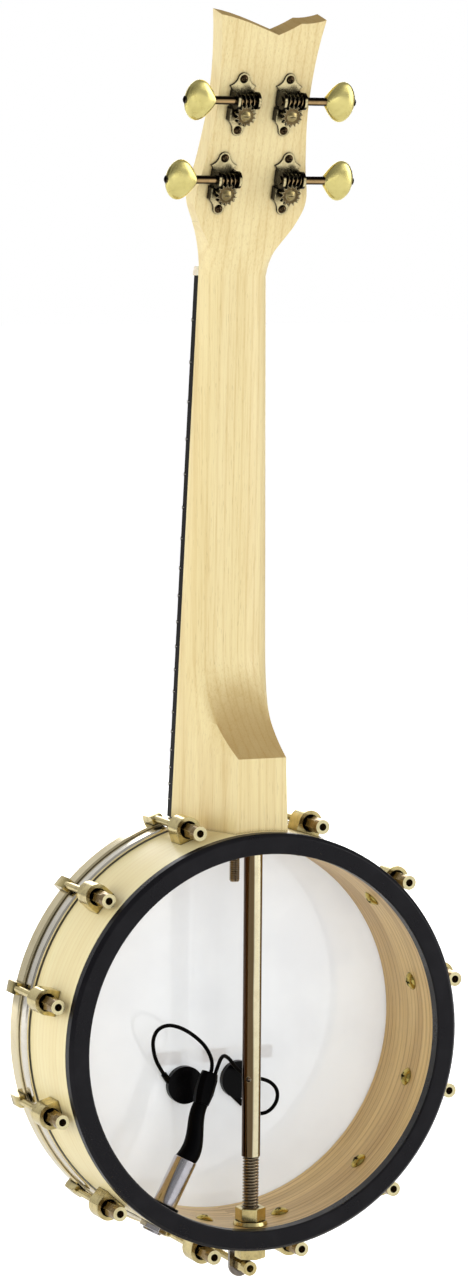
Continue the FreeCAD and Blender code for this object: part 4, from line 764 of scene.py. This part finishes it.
# %% Put the finishes on the solids
slot_of = {name: node.material_slots[0].material.name for name, node in nodes.items()}
for name, node in nodes.items():
    node.material_slots[0].material = finish[slot_of[name]]
special = {"pickup_discs": "disc_plastic", "shoe_screws": "screw_gold",
           "hook_nuts": "nut_bronze", "tension_hoop": "hoop_gold",
           "tail_bracket": "dark_nickel", "rod_inner_nut": "warm_brass",
           "rod_outer_nut": "warm_brass", "rod_washer": "warm_brass"}
for name in nodes:
    for start, chosen in (("worm_shaft", "worm_brass"), ("gear_screw", "gear_screw"),
                          ("gear_upper", "gear_brass"), ("gear_lower", "gear_brass")):
        if name.startswith(start):
            special[name] = chosen
for name, chosen in special.items():
    nodes[name].material_slots[0].material = finish[chosen]
for piece in (right_lead, left_lead):
    piece.data.materials.append(finish["black_rubber"])
print("solids dressed:", len(nodes))

# %% [markdown]
# ## Rounding the edges
# No cast, turned or sanded piece has a knife edge, and it is the thin highlight along an
# edge that makes a part read as solid. Each machined solid is copied, its doubled points
# are joined, its flat faces are merged, and a bevel rounds what is left. Normals are
# hardened so that the flats stay flat.

# %% A helper that rounds a copy of a solid
def joined_mesh(node, name):
    """A copy of a solid's mesh with shared points and merged flat faces."""
    shape = bmesh.new()
    shape.from_mesh(nodes[node].data)
    bmesh.ops.remove_doubles(shape, verts=shape.verts, dist=0.0015 * mm)
    bmesh.ops.dissolve_limit(shape, angle_limit=radians(0.4), verts=shape.verts,
                             edges=shape.edges)
    for face in shape.faces:
        face.smooth = True
    mesh = bpy.data.meshes.new(name)
    shape.to_mesh(mesh)
    shape.free()
    mesh.materials.append(nodes[node].material_slots[0].material)
    for layer in [a for a in mesh.attributes if a.name == "custom_normal"]:
        mesh.attributes.remove(layer)
    return mesh


def shown_for(node, mesh, name):
    """An object that stands for a solid, on the solid's body and with its slot."""
    piece = bpy.data.objects.new(name, mesh)
    bpy.context.scene.collection.objects.link(piece)
    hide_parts(node)
    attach(piece, nodes[node]["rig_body"])
    return piece


def softened(node, width, segments=2, angle=38):
    """A rounded copy of a solid; width is the bevel in mm."""
    name = "soft_" + node
    piece = shown_for(node, joined_mesh(node, name), name)
    piece.data.set_sharp_from_angle(angle=radians(angle))
    edge = piece.modifiers.new("round", "BEVEL")
    edge.width, edge.segments, edge.limit_method = width * mm, segments, "ANGLE"
    edge.angle_limit, edge.harden_normals, edge.use_clamp_overlap = radians(angle), True, True
    return piece


# %% Round the machined pieces
edge_mm = {"rim": 0.5, "back_ring": 0.5, "flesh_hoop": 0.35, "tension_hoop": 0.3,
           "hook_bolts": 0.45, "bracket_shoes": 0.6, "hook_nuts": 0.3, "shoe_screws": 0.15,
           "rod_washer": 0.3, "rod_inner_nut": 0.4, "rod_outer_nut": 0.4, "heel_stud_nut": 0.3,
           "tail_bracket": 0.4, "tail_bolt": 0.3, "tail_nut": 0.3, "tailpiece": 0.4,
           "neck": 0.8, "fretboard": 0.4, "nut": 0.3, "bridge": 0.4, "jack_barrel": 0.4,
           "jack_washer": 0.3, "jack_nut": 0.3, "jack_boot": 0.3, "lead_splitter": 0.7,
           "pickup_discs": 0.8, "tuner_plates": 0.18, "post_bushings": 0.3, "plate_screws": 0.12}
tuner_places = ("upper_right", "lower_right", "upper_left", "lower_left")
for place_name in tuner_places:
    edge_mm["gear_" + place_name] = 0.10
    edge_mm["gear_screw_" + place_name] = 0.15
    edge_mm["string_post_" + place_name] = 0.2
soft = {name: softened(name, width) for name, width in edge_mm.items()}
print("rounded:", len(soft))

# %% [markdown]
# ## Smooth tuner buttons
# Each button is a soft oval pillow with a small collar where its shaft goes in. The solid
# gives the size and place: its corner points are read along the shaft, across the
# headstock and out of it, and the pillow is drawn between those limits.

# %% Draw the buttons
def skin_rings(shape, rings):
    """Closes the gap between each ring of points and the next with four-sided faces."""
    count = len(rings[0])
    for lower, upper in zip(rings, rings[1:]):
        for k in range(count):
            following = (k + 1) % count
            shape.faces.new((lower[k], lower[following], upper[following], upper[k]))


BUTTON_PROFILE = [(0.00, 0.26, 0.62), (0.03, 0.34, 0.68), (0.10, 0.50, 0.76), (0.18, 0.66, 0.84),
                  (0.28, 0.82, 0.92), (0.38, 0.93, 0.97), (0.48, 0.99, 1.00), (0.58, 1.00, 1.00),
                  (0.68, 0.96, 0.97), (0.77, 0.87, 0.92), (0.85, 0.74, 0.83), (0.91, 0.60, 0.70),
                  (0.955, 0.44, 0.54), (0.985, 0.26, 0.34), (1.00, 0.08, 0.10)]


def pillow(centre, half, axes, inward, columns=48):
    """A closed rounded oval, narrowed towards its shaft; half holds its half sizes."""
    shape = bmesh.new()
    rings = []
    for along, tall, thick in BUTTON_PROFILE:
        ring = []
        for column in range(columns):
            a = 2 * pi * column / columns
            spot = (centre + axes[0] * (half[0] * (1 - 2 * along) * inward)
                    + axes[1] * (half[1] * tall * cos(a)) + axes[2] * (half[2] * thick * sin(a)))
            ring.append(shape.verts.new(spot))
        rings.append(ring)
    skin_rings(shape, rings)
    for ring in (rings[0], rings[-1]):
        shape.faces.new(ring)
    return shape


def collar(shape, start, way, side, depth, radius, length, columns=24):
    """A short round collar added to a shape, from a start point along a way."""
    rings = []
    for share, size in ((0, 1.0), (0.75, 1.0), (1.0, 0.8)):
        rings.append([shape.verts.new(start + way * (length * share) + (
            side * cos(2 * pi * k / columns) + depth * sin(2 * pi * k / columns))
            * (radius * size)) for k in range(columns)])
    skin_rings(shape, rings)
    shape.faces.new(rings[-1])


for place_name in tuner_places:
    name = "button_" + place_name
    axes = (Vector((1, 0, 0)), up_stock, out_stock)
    spans = [sorted(v.co.dot(axis) for v in nodes[name].data.vertices) for axis in axes]
    half = [(span[-1] - span[0]) / 2 for span in spans]
    middle = [(span[-1] + span[0]) / 2 for span in spans]
    centre = sum((axis * value for axis, value in zip(axes, middle)), Vector())
    inward = -1 if centre.x > 0 else 1
    shape = pillow(centre, half, axes, inward)
    collar(shape, centre + axes[0] * (inward * (half[0] - 1.6 * mm)), axes[0] * inward,
           up_stock, out_stock, 2.7 * mm, 1.5 * mm)
    bmesh.ops.recalc_face_normals(shape, faces=shape.faces)
    for face in shape.faces:
        face.smooth = True
    mesh = bpy.data.meshes.new(name)
    shape.to_mesh(mesh)
    shape.free()
    mesh.set_sharp_from_angle(angle=radians(60))
    mesh.materials.append(finish["pale_brass"])
    soft[name] = shown_for(name, mesh, "smooth_" + name)
print("button half sizes in mm:", [round(h / mm, 2) for h in half])

# %% [markdown]
# ## A true thread on the rod
# A screw thread is one ridge that winds along the rod. The mesh is a tube whose radius
# depends on height and angle together: a full turn lifts the ridge by one pitch. That is
# simpler and cleaner than cutting a groove with a boolean.

# %% A helper that makes a threaded tube
def thread_mesh(name, radius, low, high, pitch, y, columns=36, rows_per_pitch=8):
    """A closed threaded bar up Z; all sizes in mm."""
    shape = bmesh.new()
    rows = int((high - low) / pitch * rows_per_pitch) + 1
    rings = []
    for row in range(rows + 1):
        z = low + (high - low) * row / rows
        fade = min(1.0, (z - low) / pitch, (high - z) / (0.4 * pitch))
        ring = []
        for column in range(columns):
            phase = (z / pitch - column / columns) % 1.0
            ridge = min(1.0, max(0.0, 2.6 * (1 - abs(2 * phase - 1)) - 0.7))
            r = radius - 0.54 * pitch * (1 - ridge * max(0.0, fade))
            a = 2 * pi * column / columns
            ring.append(shape.verts.new((r * cos(a) * mm, (y + r * sin(a)) * mm, z * mm)))
        rings.append(ring)
    skin_rings(shape, rings)
    shape.faces.new(rings[0][::-1])
    shape.faces.new(rings[-1])
    for face in shape.faces:
        face.smooth = len(face.verts) == 4
    mesh = bpy.data.meshes.new(name)
    shape.to_mesh(mesh)
    shape.free()
    return mesh


# %% Thread the rod and the heel stud
rod_low, rod_high = (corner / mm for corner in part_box("coordinator_rod"))
thread_top, thread_pitch = -58.0, 1.5
shaft = joined_mesh("coordinator_rod", "rod_shaft")
cut = bmesh.new()
cut.from_mesh(shaft)
every = cut.verts[:] + cut.edges[:] + cut.faces[:]
bmesh.ops.bisect_plane(cut, geom=every, plane_co=(0, 0, (thread_top + 0.02) * mm),
                       plane_no=(0, 0, -1), clear_outer=True)
bmesh.ops.holes_fill(cut, edges=[e for e in cut.edges if e.is_boundary])
cut.to_mesh(shaft)
cut.free()
shaft.set_sharp_from_angle(angle=radians(35))
rod_shaft = shown_for("coordinator_rod", shaft, "rod_shaft")
shaft_edge = rod_shaft.modifiers.new("round", "BEVEL")
shaft_edge.width, shaft_edge.segments, shaft_edge.angle_limit = 0.3 * mm, 2, radians(38)
shaft_edge.harden_normals = True
rod_y = (rod_low.y + rod_high.y) / 2
rod_thread = shown_for("coordinator_rod", thread_mesh(
    "rod_thread", 3.95, rod_low.z, thread_top + 0.3, thread_pitch, rod_y), "rod_thread")
rod_thread.data.materials.append(finish["dark_steel"])
stud_low, stud_high = (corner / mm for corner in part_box("heel_stud"))
heel_stud = shown_for("heel_stud", thread_mesh(
    "heel_stud", 2.6, stud_low.z, stud_high.z, 0.9, (stud_low.y + stud_high.y) / 2, 28),
    "heel_stud_thread")
heel_stud.data.materials.append(finish["dark_steel"])
print("thread turns:", round((thread_top - rod_low.z) / thread_pitch, 1))

# %% [markdown]
# ## Strings
# Each string is tied behind the tailpiece, bends over the bridge and the nut, and winds
# about its post. A curve with a small round bevel follows all of that in one line, and is
# then turned into a mesh, which has a true size of its own.

# %% Run the strings
post_x = {"lower_left": -16.5, "upper_left": -11.9, "upper_right": 11.9, "lower_right": 16.5}
post_up = {"lower_left": 42.5, "upper_left": 81.0, "upper_right": 81.0, "lower_right": 42.5}
stock_back, nut_z = -38.105, 364.0
wind_depth, wind_r = -17.4, 3.5


def on_stock(x, depth, height):
    """A point given in the headstock's own axes (mm)."""
    return Vector((x, stock_back + height * sin(tilt) + depth * cos(tilt),
                   nut_z + height * cos(tilt) - depth * sin(tilt)))


def string_line(number, place_name):
    side = 1 if post_x[place_name] > 0 else -1
    line = [Vector((7.4 * (number - 1.5), -71.95, -91.0)),
            Vector((13.4 * (number - 1.5), -76.7, -17.0)),
            Vector((9.0 * (number - 1.5), -55.9, nut_z + 0.7))]
    turns, steps = 3.5, 20
    for k in range(int(turns * steps) + 1):
        a = pi + 2 * pi * k / steps
        line.append(on_stock(post_x[place_name] + side * wind_r * cos(a),
                             wind_depth + 0.66 * (k / steps - turns / 2),
                             post_up[place_name] - wind_r * sin(a)))
    return line


strings = bpy.data.curves.new("strings", "CURVE")
strings.dimensions, strings.bevel_depth, strings.bevel_resolution = "3D", 0.35 * mm, 3
strings.use_fill_caps = True
for number, place_name in enumerate(post_x):
    points = string_line(number, place_name)
    spline = strings.splines.new("POLY")
    spline.points.add(len(points) - 1)
    for spot, point in zip(spline.points, points):
        spot.co = (*(point * mm), 1)
    spline.use_smooth = True
drawn = bpy.data.objects.new("drawn strings", strings)
string_mesh = bpy.data.meshes.new_from_object(drawn)
bpy.data.objects.remove(drawn)
string_mesh.materials.append(finish["clear_nylon"])
string_set = bpy.data.objects.new("string_set", string_mesh)
bpy.context.scene.collection.objects.link(string_set)
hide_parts("strings")
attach(string_set, "banjo")
print("strings:", len(strings.splines))
